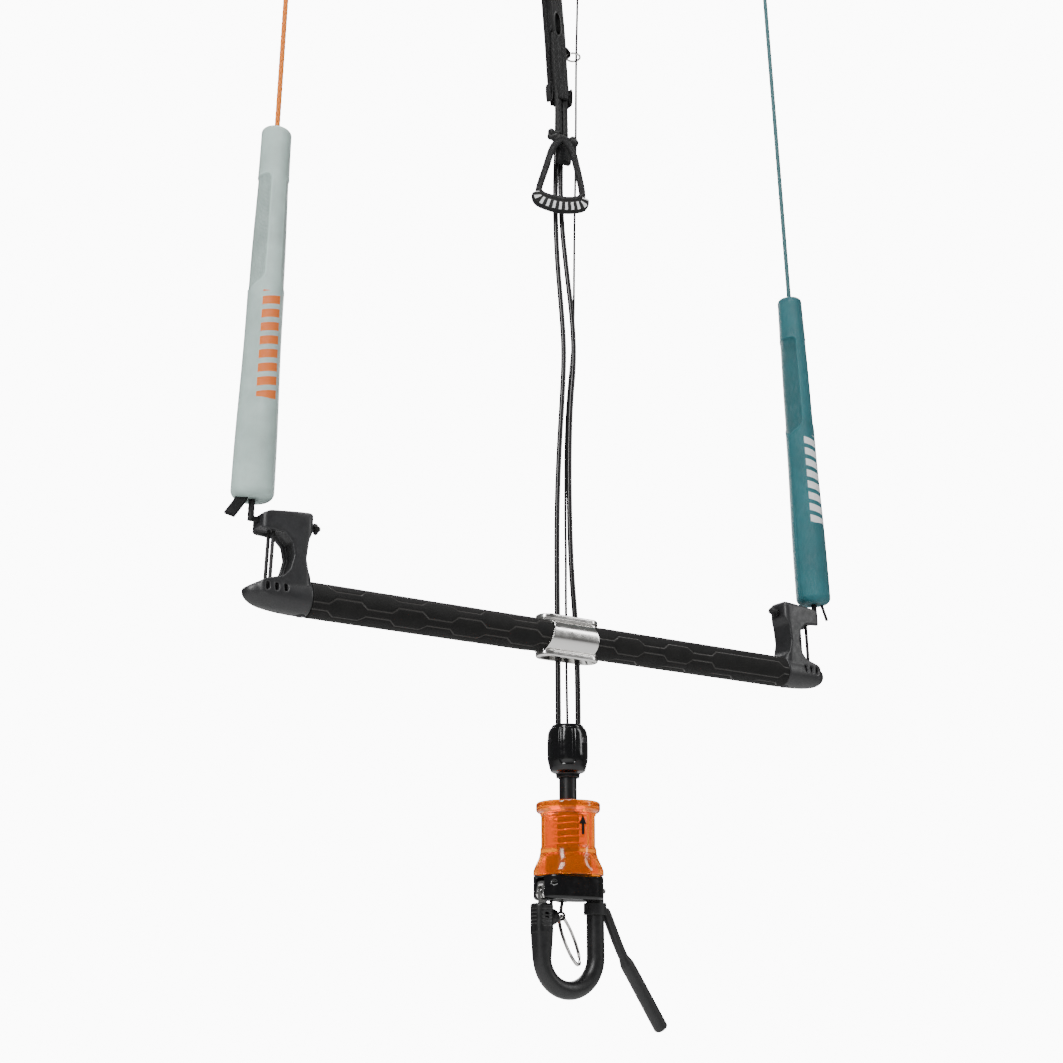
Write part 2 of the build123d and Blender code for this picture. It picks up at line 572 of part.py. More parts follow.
def locking_finger():
    """Keeps a harness hook in the loop: a thin neck and a thicker tip."""
    root, bend, knee, tip = [Vector(x, 0, z) for x, z in FINGER_PATH]
    start = Vector(LEG_X + 7.6, 0, root.Z)
    path = FilletPolyline(start, bend, knee, radius=8)
    neck = sweep(Plane(path @ 0, z_dir=path % 0) * Circle(FINGER_THIN), path=path)
    run = tip - knee
    blade = Plane(knee, z_dir=run) * revolved([
        (0, -4), (FINGER_THIN, -4), (FINGER_THICK, 2), (FINGER_THICK, run.length - 2),
        (FINGER_THICK - 1.6, run.length), (0, run.length),
    ])
    around_leg = rod(8.4, -215, -185, (LEG_X, 0))
    return (neck + blade) - around_leg


# ================================================================= leash ring
def stopper_ball():
    return Pos(*BALL) * Sphere(BALL_RADIUS)


def ring_directions():
    """The ring's wire direction at its pivot, and the way it hangs from there."""
    wire = Vector(sin(radians(RING_TURN)), cos(radians(RING_TURN)), 0)
    aside = Vector(cos(radians(RING_TURN)), -sin(radians(RING_TURN)), 0)
    hang = aside * sin(radians(RING_TILT)) - Vector(0, 0, 1) * cos(radians(RING_TILT))
    return wire, hang


def ring_cord():
    """The ring's cord, from the lug to the small eye that carries the ring, and the ball's."""
    wire, _ = ring_directions()
    pivot = Vector(*RING_PIVOT)
    foot = Vector(LUG[0], LUG[1], BASE_BOTTOM - 1.0)
    top_of_eye = pivot + Vector(0, 0, 2.6)
    body = rod(1.3, BASE_BOTTOM - 1.0, BASE_BOTTOM + 5.9, LUG) + Pos(*foot) * Sphere(1.3)
    body += sweep(Plane(foot, z_dir=top_of_eye - foot) * Circle(1.3), path=Line(foot, top_of_eye))
    body += Plane(pivot, z_dir=wire) * Torus(2.7, 1.0)
    ball_cord = rod(1.3, BALL[2] + 3, BASE_BOTTOM, BALL[:2]) - Pos(*BALL) * Sphere(BALL_RADIUS)
    return Compound(children=[body, ball_cord])


def leash_ring():
    wire, hang = ring_directions()
    centre = Vector(*RING_PIVOT) + hang * RING_RADIUS
    return Plane(centre, x_dir=wire, z_dir=wire.cross(hang)) * Torus(RING_RADIUS, RING_WIRE)


# ================================================================= write all
def main():
    save("bar_tube", bar_tube())
    save("hole_insert", hole_insert())
    save("line_guide", line_guide())
    save("end_screws", two(end_screw()))
    right_end, right_anchor = bar_end(), leader_anchor()
    save("bar_end_right", right_end)
    save("bar_end_left", mirror(right_end, Plane.YZ))
    save("leader_anchor_right", right_anchor)
    save("leader_anchor_left", mirror(right_anchor, Plane.YZ))
    for name, side in SIDES.items():
        save(f"grip_{name}", grip(side))
        save(f"bungee_{name}", bungee(side))
        save(f"leader_line_{name}", leader_line(name))
        save(f"leader_loop_{name}", leader_loop(name))
        save(f"float_{name}", line_float(name))
        save(f"trim_rope_{name}", trim_rope(side))
    save("float_tab_left", float_tab())
    save("float_tail_right", float_tail())

    save("depower_line_left", cord(DEPOWER_LEFT, DEPOWER_DIAMETER, "left depower line"))
    save("depower_line_right", cord(DEPOWER_RIGHT, DEPOWER_DIAMETER, "right depower line"))
    save("safety_line", cord(SAFETY_LINE, SAFETY_DIAMETER, "safety line"))
    save("safety_loop", safety_loop())
    save("trim_strap", trim_strap())
    save("front_line_loop", front_line_loop())
    save("strap_keepers", strap_keepers())
    save("ring_tab", ring_tab())
    save("guide_ring", guide_ring())
    save("trim_knots", trim_knots())
    save("handle_tongue", handle_tongue())
    save("pull_handle", pull_handle())

    save("swivel_housing", swivel_housing())
    save("swivel_cap", swivel_cap())
    save("swivel_screws", swivel_screws())
    save("swivel_bearing", swivel_bearing())
    save("line_end_stops", line_end_stops())
    save("swivel_shaft", swivel_shaft())
    save("release_core", release_core())
    save("release_sleeve", release_sleeve())
    save("release_spring", release_spring())
    save("release_base", release_base())
    save("loop_pin", loop_pin())
    save("latch_pin", latch_pin())
    save("latch_hook", latch_hook())

    save("loop_tube", loop_tube())
    save("loop_end_cap", loop_end_cap())
    save("loop_tongue", loop_tongue())
    save("finger_collar", finger_collar())
    save("locking_finger", locking_finger())
    save("stopper_ball", stopper_ball())
    save("ring_cord", ring_cord())
    save("leash_ring", leash_ring())


main()
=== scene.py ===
"""A kitesurf control bar: bar, floats, lines, trim, swivel, release and chicken loop.

Places are in millimetres in the part's own frame and are turned into metres by MM.
X runs along the bar, Y away from the rider, Z up the lines.
"""

from functools import partial
from math import cos, pi, radians, sin

import bmesh
import bpy
import numpy as np
from mathutils import Matrix, Vector


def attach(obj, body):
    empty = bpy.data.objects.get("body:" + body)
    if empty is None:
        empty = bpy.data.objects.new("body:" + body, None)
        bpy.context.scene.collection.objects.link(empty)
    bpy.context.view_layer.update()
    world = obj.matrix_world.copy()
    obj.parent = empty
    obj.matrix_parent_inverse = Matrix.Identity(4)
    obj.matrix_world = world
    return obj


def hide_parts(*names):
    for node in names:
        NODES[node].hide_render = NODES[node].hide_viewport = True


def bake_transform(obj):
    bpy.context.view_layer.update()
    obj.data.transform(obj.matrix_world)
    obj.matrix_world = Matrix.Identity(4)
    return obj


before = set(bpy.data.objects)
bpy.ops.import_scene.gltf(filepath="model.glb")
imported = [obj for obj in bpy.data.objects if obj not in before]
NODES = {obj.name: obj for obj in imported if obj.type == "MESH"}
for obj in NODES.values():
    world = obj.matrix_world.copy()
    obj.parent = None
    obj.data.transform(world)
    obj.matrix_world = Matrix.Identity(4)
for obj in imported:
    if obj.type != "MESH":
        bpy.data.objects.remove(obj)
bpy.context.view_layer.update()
MM = 0.001
SIDES = {"left": -1, "right": 1}

# ------------------------------------------------------------ camera and stage
LENS, SENSOR = 50.8, 36.0
CAMERA_PLACE = (-0.640, -0.918, -0.260)
CAMERA_YAW, CAMERA_PITCH = 33.5, 17.2
FLOOR_Z, FLOOR_REACH = -0.62, 3.0
LIT_PLACE = (0, 0, 0.1)
PALE = (0.93, 0.93, 0.93)
AMBIENT = 0.13           # the surroundings' strength as light
SEEN_WHITE = 11.0        # as the camera sees them, past the object
THROUGH_CLEAR = 1.7      # and as clear plastic shows them


def new_object(name, data):
    made = bpy.data.objects.new(name, data)
    bpy.context.scene.collection.objects.link(made)
    return made


def camera():
    data = bpy.data.cameras.new("camera")
    data.lens = LENS
    data.sensor_width = SENSOR
    made = new_object("camera", data)
    made.location = CAMERA_PLACE
    made.rotation_euler = (radians(90 + CAMERA_PITCH), 0, radians(-CAMERA_YAW))
    bpy.context.scene.camera = made


def area_light(name, place, size, power):
    data = bpy.data.lights.new(name, "AREA")
    data.shape = "RECTANGLE"
    data.size, data.size_y = size
    data.energy = power
    made = new_object(name, data)
    made.location = place
    aim = Vector(LIT_PLACE) - Vector(place)
    made.rotation_euler = aim.to_track_quat("-Z", "Y").to_euler()


def studio():
    """White surroundings, a pale floor and soft boxes."""
    world = bpy.data.worlds.new("studio")
    world.use_nodes = True
    sky = world.node_tree.nodes["Background"]
    sky.inputs["Color"].default_value = (1, 1, 1, 1)
    rays = world.node_tree.nodes.new("ShaderNodeLightPath")
    strength = AMBIENT
    for output, level in (("Is Camera Ray", SEEN_WHITE), ("Is Transmission Ray", THROUGH_CLEAR)):
        strength = maths(world, "MULTIPLY_ADD", rays.outputs[output], level - AMBIENT, strength)
    world.node_tree.links.new(strength, sky.inputs["Strength"])
    bpy.context.scene.world = world

    area_light("key", (-1.7, -0.9, 1.2), (0.5, 1.6), 50)
    area_light("fill", (1.5, -1.4, 0.9), (0.35, 1.6), 16)
    area_light("rim", (0.9, 1.7, 0.9), (1.2, 1.2), 30)
    area_light("top", (-0.1, -0.2, 1.9), (0.9, 0.6), 24)

    floor_mesh = bpy.data.meshes.new("floor")
    corners = [(x * FLOOR_REACH, y * FLOOR_REACH, FLOOR_Z)
               for x, y in ((-1, -1), (1, -1), (1, 1), (-1, 1))]
    floor_mesh.from_pydata(corners, [], [(0, 1, 2, 3)])
    floor_mesh.materials.append(material("floor", PALE, 0.9))
    new_object("floor", floor_mesh)


# ------------------------------------------------------------ material helpers
def material(name, colour, roughness, **sockets):
    """A Principled material. sockets holds its other plain values, with _ for spaces."""
    made = bpy.data.materials.new(name)
    made.use_nodes = True
    shader = made.node_tree.nodes["Principled BSDF"]
    shader.inputs["Base Color"].default_value = (*colour, 1)
    shader.inputs["Roughness"].default_value = roughness
    for key, value in sockets.items():
        shader.inputs[key.replace("_", " ")].default_value = value
    return made


def add(made, kind, inputs=None, **settings):
    """A new node with its settings and its inputs, each a value or another node's output."""
    tree = made.node_tree
    node = tree.nodes.new(kind)
    for key, value in settings.items():
        setattr(node, key, value)
    for key, value in (inputs or {}).items():
        if isinstance(value, bpy.types.NodeSocket):
            tree.links.new(value, node.inputs[key])
        else:
            node.inputs[key].default_value = value
    return node


def principled(made):
    return made.node_tree.nodes["Principled BSDF"]


def drive(made, socket, output):
    made.node_tree.links.new(output, principled(made).inputs[socket])


def maths(made, operation, first, second=0.0, third=0.0):
    node = add(made, "ShaderNodeMath", {0: first, 1: second, 2: third}, operation=operation)
    return node.outputs[0]


def spread(made, value, low, high, to_low, to_high):
    """value mapped from one range to another, and held inside it."""
    node = add(made, "ShaderNodeMapRange", {"Value": value, "From Min": low, "From Max": high,
                                            "To Min": to_low, "To Max": to_high})
    return node.outputs[0]


def blend_colours(made, factor, first, second):
    node = add(made, "ShaderNodeMix", {0: factor}, data_type="RGBA")
    for index, value in ((6, first), (7, second)):
        if isinstance(value, bpy.types.NodeSocket):
            made.node_tree.links.new(value, node.inputs[index])
        else:
            node.inputs[index].default_value = (*value, 1)
    return node.outputs[2]


def tint(made, factor, first, second):
    """A base colour that goes from the first to the second as factor rises."""
    drive(made, "Base Color", blend_colours(made, factor, first, second))


def noise(made, scale, detail=3.0, stretch=(1, 1, 1)):
    """Fine grain in the object's own space; scale is in features per metre."""
    place = add(made, "ShaderNodeTexCoord")
    mapped = add(made, "ShaderNodeMapping", {"Vector": place.outputs["Object"], "Scale": stretch})
    made_noise = add(made, "ShaderNodeTexNoise", {"Vector": mapped.outputs[0], "Scale": scale,
                                                  "Detail": detail})
    return made_noise.outputs["Fac"]


def uv_axes(made):
    """Where a point is in the UV map: round the piece from 0 to 1, and along it in metres."""
    place = add(made, "ShaderNodeUVMap", uv_map="UVMap").outputs[0]
    return add(made, "ShaderNodeSeparateXYZ", {0: place}).outputs[:2]


def attribute(made, name):
    return add(made, "ShaderNodeAttribute", attribute_name=name).outputs["Fac"]


def bump(made, heights, distance):
    """Bump from one or more heights, added up."""
    total = heights[0]
    for extra in heights[1:]:
        total = maths(made, "ADD", total, extra)
    node = add(made, "ShaderNodeBump", {"Height": total, "Distance": distance})
    drive(made, "Normal", node.outputs[0])


def moulded(name, colour, roughness, grain=2600, depth=0.00004, **sockets):
    """Moulded plastic or rubber: a fine grain, and slightly uneven colour and gloss."""
    made = material(name, colour, roughness, **sockets)
    coarse = noise(made, 60, 4)
    lighter = tuple(min(1.0, c * 1.35 + 0.001) for c in colour)
    darker = tuple(c * 0.78 for c in colour)
    tint(made, coarse, darker, lighter)
    drive(made, "Roughness", spread(made, noise(made, 240, 4), 0.3, 0.7,
                                    max(0.04, roughness - 0.07), roughness + 0.07))
    bump(made, [noise(made, grain, 2)], depth)
    return made


def metal(name, colour, roughness):
    """Polished metal with faint fine scratches."""
    made = material(name, colour, roughness, Metallic=1.0)
    streak = noise(made, 900, 3, (1, 6, 0.6))
    drive(made, "Roughness", spread(made, noise(made, 130, 4), 0.3, 0.7,
                                    roughness * 0.8, roughness * 1.35))
    bump(made, [streak], 0.000003)
    return made


def rope_material(name, colour, roughness=0.72, fleck=0.0):
    """Braided rope: painted shade darkens it between the plaits, with fine fibres and a little
    sheen.
    """
    made = material(name, colour, roughness, Sheen_Weight=0.06, Sheen_Roughness=0.4,
                    Specular_IOR_Level=0.3)
    ridge = attribute(made, "ridge")
    dark = tuple(c * 0.30 for c in colour)
    pale = tuple(min(1.0, c * 1.25 + fleck) for c in colour)
    fibres = noise(made, 5200, 2, (1, 1, 0.35))
    plait = blend_colours(made, spread(made, fibres, 0.35, 0.7, 0.0, 1.0), colour, pale)
    # painted shade: where the ridge value is low, in the crevices between the plaits, the rope is
    # tinted towards the dark colour
    tint(made, spread(made, ridge, 0.15, 0.75, 0.0, 1.0), dark, plait)
    bump(made, [maths(made, "MULTIPLY", fibres, 0.6)], 0.00008)
    return made


def webbing_material(name, colour):
    """Woven webbing with a herringbone of ribs."""
    pick, wales = 0.0011, 11.0         # the rib's pitch in metres, and the ribs across
    made = material(name, colour, 0.60, Sheen_Weight=0.04, Sheen_Roughness=0.35,
                    Specular_IOR_Level=0.25)
    calc = partial(maths, made)
    uv = uv_axes(made)
    across = calc("MULTIPLY", uv[0], wales)
    along = calc("DIVIDE", uv[1], pick)
    column = calc("FLOOR", across)
    zigzag = calc("PINGPONG", calc("ADD", column, calc("FRACT", across)), 1.0)
    rib = calc("SINE", calc("MULTIPLY", calc("ADD", along, zigzag), 2 * pi))
    valley = calc("SINE", calc("MULTIPLY", across, 2 * pi))
    height = calc("ADD", calc("MULTIPLY", rib, 0.5), calc("MULTIPLY", valley, 0.35))
    fibre = noise(made, 4200, 2)
    light = tuple(min(1.0, c * 1.8 + 0.003) for c in colour)
    # partly painted shade and highlight: the colour darkens in the weave's valleys and lightens on
    # its rib tops by height; the fibre noise adds random tone
    tone = calc("MULTIPLY_ADD", height, 0.3, calc("MULTIPLY", fibre, 0.8))
    tint(made, tone, colour, light)
    bump(made, [height, fibre], 0.00020)
    return made


# ------------------------------------------------------------ mesh helpers
BRAID_DEPTH = 0.16       # between two plaits, as a share of the rope's radius
ARC_POINTS = 6           # on each round corner of a turned profile


def link_piece(name, mesh, body, made, replaced=()):
    """Puts a finished mesh in the scene with its material, hiding the CAD nodes it replaces.

    body is the body it moves with, or None to leave it without one.
    """
    piece = new_object(name, mesh)
    mesh.name = name
    mesh.materials.clear()
    mesh.materials.append(made)
    if body:
        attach(piece, body)
    if replaced:
        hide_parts(*replaced)
    return piece


def travelled(points):
    """The distance along a line, at each of its points."""
    return np.concatenate([[0], np.cumsum(np.linalg.norm(np.diff(points, axis=0), axis=1))])


def point_values(mesh, name, values):
    mesh.attributes.new(name, "FLOAT", "POINT").data.foreach_set("value", values.ravel())


def skin(rings, along, caps=True, **values):
    """A mesh through rings of points, given in metres as an array (rings, points, 3).

    Its UV map runs from 0 to 1 round each ring, and by along, in metres, from ring to
    ring. values holds numbers for each point, kept as attributes.
    """
    count, around = rings.shape[:2]
    index = np.arange(count * around).reshape(count, around)
    following = np.roll(index, -1, axis=1)
    quads = np.stack([index[:-1], following[:-1], following[1:], index[1:]], axis=-1)
    faces = quads.reshape(-1, 4).tolist()
    if caps:
        faces.append(index[0][::-1].tolist())
        faces.append(index[-1].tolist())
    mesh = bpy.data.meshes.new("skin")
    mesh.from_pydata(rings.reshape(-1, 3).tolist(), [], faces)
    u = np.arange(around + 1) / around
    corner_u = np.stack([u[:-1], u[1:], u[1:], u[:-1]], axis=-1)[None].repeat(count - 1, 0)
    corner_v = np.stack([along[:-1], along[:-1], along[1:], along[1:]], axis=-1)
    corner_v = corner_v[:, None].repeat(around, 1)
    flat = np.stack([corner_u, corner_v], axis=-1).reshape(-1, 2)
    layer = mesh.uv_layers.new(name="UVMap")
    both = np.zeros((len(mesh.loops), 2), np.float32)
    both[:len(flat)] = flat
    layer.data.foreach_set("uv", both.ravel())
    for key, value in values.items():
        point_values(mesh, key, value)
    mesh.shade_smooth()
    return mesh


def unit(vectors):
    return vectors / np.linalg.norm(vectors, axis=-1, keepdims=True)


def frames(line, up=None):
    """Two directions square to a line at each of its points, without twist.

    The first one leans towards up where that is given.
    """
    tangents = unit(np.gradient(line, axis=0))
    start = np.array(up if up is not None else (0.31, -0.94, 0.11), float)
    normals = np.zeros_like(tangents)
    for i, tangent in enumerate(tangents):
        guide = start if (i == 0 or up is not None) else normals[i - 1]
        normals[i] = unit(guide - tangent * guide.dot(tangent))
    return normals, np.cross(tangents, normals)


def resample(points, step):
    """The same line with evenly spaced points, and the distance along it at each."""
    points = np.array([tuple(p) for p in points], float)
    along = travelled(points)
    stations = np.linspace(0, along[-1], max(3, int(round(along[-1] / step)) + 1))
    line = np.stack([np.interp(stations, along, points[:, k]) for k in range(3)], axis=-1)
    return line, stations


def spline(route, resolution):
    """A NURBS curve whose control points are the route's."""
    data = bpy.data.curves.new("spline", "CURVE")
    data.dimensions = "3D"
    data.resolution_u = resolution
    line = data.splines.new("NURBS")
    line.points.add(len(route) - 1)
    for point, place in zip(line.points, route):
        point.co = (*(c * MM for c in place), 1)
    line.order_u = 3
    line.use_endpoint_u = True
    return data


def smooth_line(route):
    """Points along the route's NURBS curve, in metres."""
    guide = new_object("route", spline(route, 16))
    bpy.context.view_layer.update()
    sampled = bpy.data.meshes.new_from_object(guide)
    points = [v.co.copy() for v in sampled.vertices]
    bpy.data.objects.remove(guide)
    bpy.data.meshes.remove(sampled)
    return points


def ring_angles(around):
    return np.linspace(0, 2 * pi, around, endpoint=False)


def place_rings(line, normals, binormals, x, y):
    """Rings of points at offsets x and y, arrays (stations, points), from the line."""
    return line[:, None] + x[..., None] * normals[:, None] + y[..., None] * binormals[:, None]


def braid(points, radius, plaits, pitch, around=28, step=0.0006):
    """A braided rope along points; radius, pitch and step are in metres."""
    line, stations = resample(points, step)
    normals, binormals = frames(line)
    turns = ring_angles(around)[None] * plaits / (2 * pi)
    run = (stations / pitch)[:, None]
    one, other = turns + run, turns - run
    over = (np.floor(one) + np.floor(other)) % 2 < 1
    ridge = np.abs(np.sin(pi * np.where(over, one, other))) ** 0.7
    r = radius * (1 - BRAID_DEPTH * (1 - ridge))
    angle = ring_angles(around)[None]
    rings = place_rings(line, normals, binormals, r * np.cos(angle), r * np.sin(angle))
    return skin(rings, stations, ridge=ridge)


def join(meshes):
    """One mesh out of several, with their UV maps and attributes."""
    group = [new_object("part", mesh) for mesh in meshes]
    with bpy.context.temp_override(active_object=group[0], selected_editable_objects=group):
        bpy.ops.object.join()
    merged = group[0].data
    bpy.data.objects.remove(group[0])
    return merged


def band(line, width_axis, width, thickness, crown=0.0, folds=0.0):
    """A flat strap along a line of points in metres, with rounded edges.

    width_axis is the direction of its width, and width, in millimetres like thickness, is
    one number or one at each point. crown and folds, as shares of half its thickness,
    raise its middle and ripple it lengthwise.
    """
    wide, thin = frames(line, width_axis)
    widths = np.broadcast_to(np.array(width, float) * MM, (len(line),))[:, None]
    half, flat_points = thickness * MM / 2, np.linspace(-1, 1, 12 if folds == 0 else 36)
    lift = crown * (1 - flat_points ** 2) + folds * np.cos(7.5 * flat_points + 0.6)
    top = list(zip(flat_points, 1 + lift))
    bottom = list(zip(-flat_points, -1 + folds * np.cos(-7.5 * flat_points + 0.6)))
    outline = np.array(top + bottom)
    x = outline[:, 0][None] * (widths / 2 - half * 0.55)
    y = np.broadcast_to(outline[:, 1][None] * half, x.shape)
    mesh = skin(place_rings(line, wide, thin, x, -y), travelled(line))
    layer = mesh.uv_layers["UVMap"]
    uv = np.zeros(len(mesh.loops) * 2, np.float32)
    layer.data.foreach_get("uv", uv)
    uv[::2] = 1 - np.abs(2 * uv[::2] - 1)
    layer.data.foreach_set("uv", uv)
    return mesh


def rounded(profile):
    """(radius, height, fillet) corners as a finely stepped profile with round corners."""
    points = []
    for i, (r, z, fillet) in enumerate(profile):
        here = np.array((r, z), float)
        if fillet <= 0 or i in (0, len(profile) - 1):
            points.append(here)
            continue
        before = np.array(profile[i - 1][:2], float) - here
        after = np.array(profile[i + 1][:2], float) - here
        reach = min(fillet, 0.49 * np.linalg.norm(before), 0.49 * np.linalg.norm(after))
        start = here + before / np.linalg.norm(before) * reach
        end = here + after / np.linalg.norm(after) * reach
        for t in np.linspace(0, 1, ARC_POINTS):
            points.append((1 - t) ** 2 * start + 2 * t * (1 - t) * here + t * t * end)
    return np.array(points)


def lathe(profile, around=96, at=(0, 0), shape=None, split=1.2, caps=True):
    """A surface of revolution from (radius, height, fillet) corners in millimetres.

    It is listed from its lower outside up. shape(angle, height, radius) may change the radius.
    """
    outline = rounded(profile)
    dense = [outline[0]]
    for a, b in zip(outline, outline[1:]):
        steps = max(1, int(np.linalg.norm(b - a) / split))
        dense += [a + (b - a) * k / steps for k in range(1, steps + 1)]
    dense = np.array(dense)
    angle = ring_angles(around)[None]
    radius = np.repeat(dense[:, 0][:, None], around, 1)
    height = np.repeat(dense[:, 1][:, None], around, 1)
    if shape is not None:
        radius = shape(angle, height, radius)
    rings = np.stack([at[0] + radius * np.cos(angle), at[1] + radius * np.sin(angle), height],
                     axis=-1) * MM
    return skin(rings, travelled(dense) * MM, caps)


def applied(piece):
    """The mesh of a piece with its modifiers applied. The piece itself goes."""
    bpy.context.view_layer.update()
    graph = bpy.context.evaluated_depsgraph_get()
    result = bpy.data.meshes.new_from_object(piece.evaluated_get(graph))
    bpy.data.objects.remove(piece)
    return result


def soften(node, voxel, passes):
    """A CAD node's own shape with its edges rounded, as a mesh."""
    welded = bmesh.new()
    welded.from_mesh(NODES[node].data)
    bmesh.ops.remove_doubles(welded, verts=welded.verts, dist=1e-6)
    mesh = bpy.data.meshes.new(node)
    welded.to_mesh(mesh)
    welded.free()
    worker = new_object("worker", mesh)
    remesh = worker.modifiers.new("remesh", "REMESH")
    remesh.mode = "VOXEL"
    remesh.voxel_size = voxel * MM
    smooth = worker.modifiers.new("smooth", "SMOOTH")
    smooth.factor = 0.5
    smooth.iterations = passes
    result = applied(worker)
    result.shade_smooth()
    return result


def cut(mesh, cutter_mesh):
    """A mesh without what the cutter covers."""
    piece, cutter = new_object("piece", mesh), new_object("cutter", cutter_mesh)
    modifier = piece.modifiers.new("cut", "BOOLEAN")
    modifier.object = cutter
    modifier.solver = "EXACT"
    result = applied(piece)
    bpy.data.objects.remove(cutter)
    return result


def turn_from(turn, centre):
    """Degrees from centre to turn, the short way round."""
    return (turn - centre + 180) % 360 - 180


def box_distance(dx, dz, corner):
    """Signed distance to a box with round corners, from how far a point is past its sides."""
    dx, dz = dx + corner, dz + corner
    outside = np.hypot(np.maximum(dx, 0), np.maximum(dz, 0))
    return outside + np.minimum(np.maximum(dx, dz), 0) - corner


def smoothstep(low, high, x):
    t = np.clip((x - low) / (high - low), 0, 1)
    return t * t * (3 - 2 * t)


def cubic(points, per_span=12):
    """A smooth curve through points, in the points' own units."""
    p = np.array(points, float)
    padded = np.vstack([2 * p[0] - p[1], p, 2 * p[-1] - p[-2]])
    out = []
    for i in range(1, len(padded) - 2):
        a, b, c, d = padded[i - 1:i + 3]
        for t in np.linspace(0, 1, per_span, endpoint=False):
            out.append(0.5 * (2 * b + (c - a) * t + (2 * a - 5 * b + 4 * c - d) * t ** 2
                              + (3 * b - a - 3 * c + d) * t ** 3))
    out.append(p[-1])
    return np.array(out)


# ------------------------------------------------------------ colours
ORANGE_ROPE = (0.83, 0.20, 0.018)
TEAL_ROPE = (0.045, 0.135, 0.145)
MINT = (0.50, 0.64, 0.60)
TEAL = (0.008, 0.125, 0.150)
WHITE = (0.86, 0.87, 0.87)
PRINT_ORANGE = (0.86, 0.17, 0.01)
BLACK = (0.006, 0.006, 0.0063)
DARK_GREY = (0.018, 0.018, 0.0195)
STEEL = (0.76, 0.75, 0.73)


# ------------------------------------------------------------ cords and lines
ROPE_Z = 51.0
EXIT_X = 262.0
LINE_LENGTH = 651.0
LEAN = {"left": 3.0, "right": 9.5}
FLOAT_LOW, FLOAT_HIGH = 13.0, 301.5      # the float's ends, measured up the line
LEADER_RADIUS = 2.0
DEPOWER_RADIUS = 2.15
SAFETY_RADIUS = 1.0
TRIM_RADIUS = 3.0
DEPOWER_LEFT = [
    (-9.0, -1.0, -76.0), (-9.0, -1.0, -20.0), (-9.6, -1.0, 42.0), (-9.3, -1.0, 102.0),
    (-6.8, -1.0, 155.0), (-3.2, -0.8, 200.0), (-0.3, 0.4, 240.0), (-1.6, 2.0, 276.0),
    (-4.6, 3.5, 320.0), (-5.8, 4.2, 365.0), (-5.2, 4.2, 409.0), (-3.0, 4.2, 447.0),
    (-3.0, 4.2, 485.0),
]
DEPOWER_RIGHT = [
    (9.0, -1.0, -76.0), (9.3, -1.0, -32.0), (7.6, -1.0, 14.0), (4.0, -1.0, 54.0),
    (2.6, -1.0, 100.0), (2.6, -1.0, 146.0), (4.2, -1.0, 193.0), (9.0, -0.5, 234.0),
    (8.8, 1.7, 273.0), (4.6, 3.5, 315.0), (0.2, 4.2, 360.0), (-0.4, 4.2, 405.0),
    (2.0, 4.2, 447.0), (2.0, 4.2, 485.0),
]
SAFETY_LINE = [
    (0.0, 0.0, -76.0), (0.0, 0.4, -50.0), (0.9, 2.2, -24.0), (1.1, 2.2, 4.0),
    (0.8, 2.2, 34.0), (1.2, 2.2, 64.0), (0.9, 2.2, 94.0), (1.1, 2.2, 124.0),
    (1.4, 2.2, 154.0), (2.8, 2.2, 184.0), (5.7, 2.4, 214.0), (10.4, 4.1, 244.0),
    (12.9, 5.2, 274.0), (13.8, 5.8, 304.0), (14.2, 5.6, 334.0), (14.4, 5.0, 364.0),
    (14.8, 4.2, 394.0), (14.9, 3.2, 424.0), (14.8, 2.2, 454.0), (14.5, 1.2, 484.0),
    (14.4, 0.4, 514.0), (15.0, 0.0, 544.0), (16.0, -0.2, 574.0), (16.8, 0.0, 602.0),
]
TRIM_Y = -1.6
TRIM_GAP = 3.1
TRIM_CENTRE = [(-2.6, 437.2), (-3.0, 472.0), (-5.0, 504.0), (-7.0, 535.0)]


def leader_place(side_name):
    """The leader line's own frame: origin at its exit, Z up the leaning line."""
    side = SIDES[side_name]
    rise = 352.5 - ROPE_Z
    up = Vector((-side * LEAN[side_name], 0, rise)).normalized()
    across = Vector((up.z, 0, -up.x))
    turn = Matrix((across, Vector((0, 1, 0)), up)).transposed().to_4x4()
    return at(side * EXIT_X, 0, ROPE_Z) @ turn


def at(*place):
    """The frame at a place in millimetres, turned like the part's."""
    return Matrix.Translation(Vector(place) * MM)


def in_frame(place, points):
    """Points in millimetres in a frame, as metres in the part's."""
    return [place @ (Vector(p) * MM) for p in points]


def knot_points(size):
    """The closed path of an overhand knot about its own middle."""
    angles = np.linspace(0, 2 * pi, 60)
    x = np.sin(angles) + 2 * np.sin(2 * angles)
    y = np.cos(angles) - 2 * np.cos(2 * angles)
    return [(size * a / 3, size * b / 3, -size * c / 2.2)
            for a, b, c in zip(x, y, np.sin(3 * angles))]


def circle_points(radius, count=64):
    return [(radius * sin(t), 0, -radius * cos(t)) for t in np.linspace(0, 2 * pi, count)]


def knot_mesh(place, size, radius):
    return braid(in_frame(place, knot_points(size)), radius * MM, 3, 0.0030, 16, 0.0007)


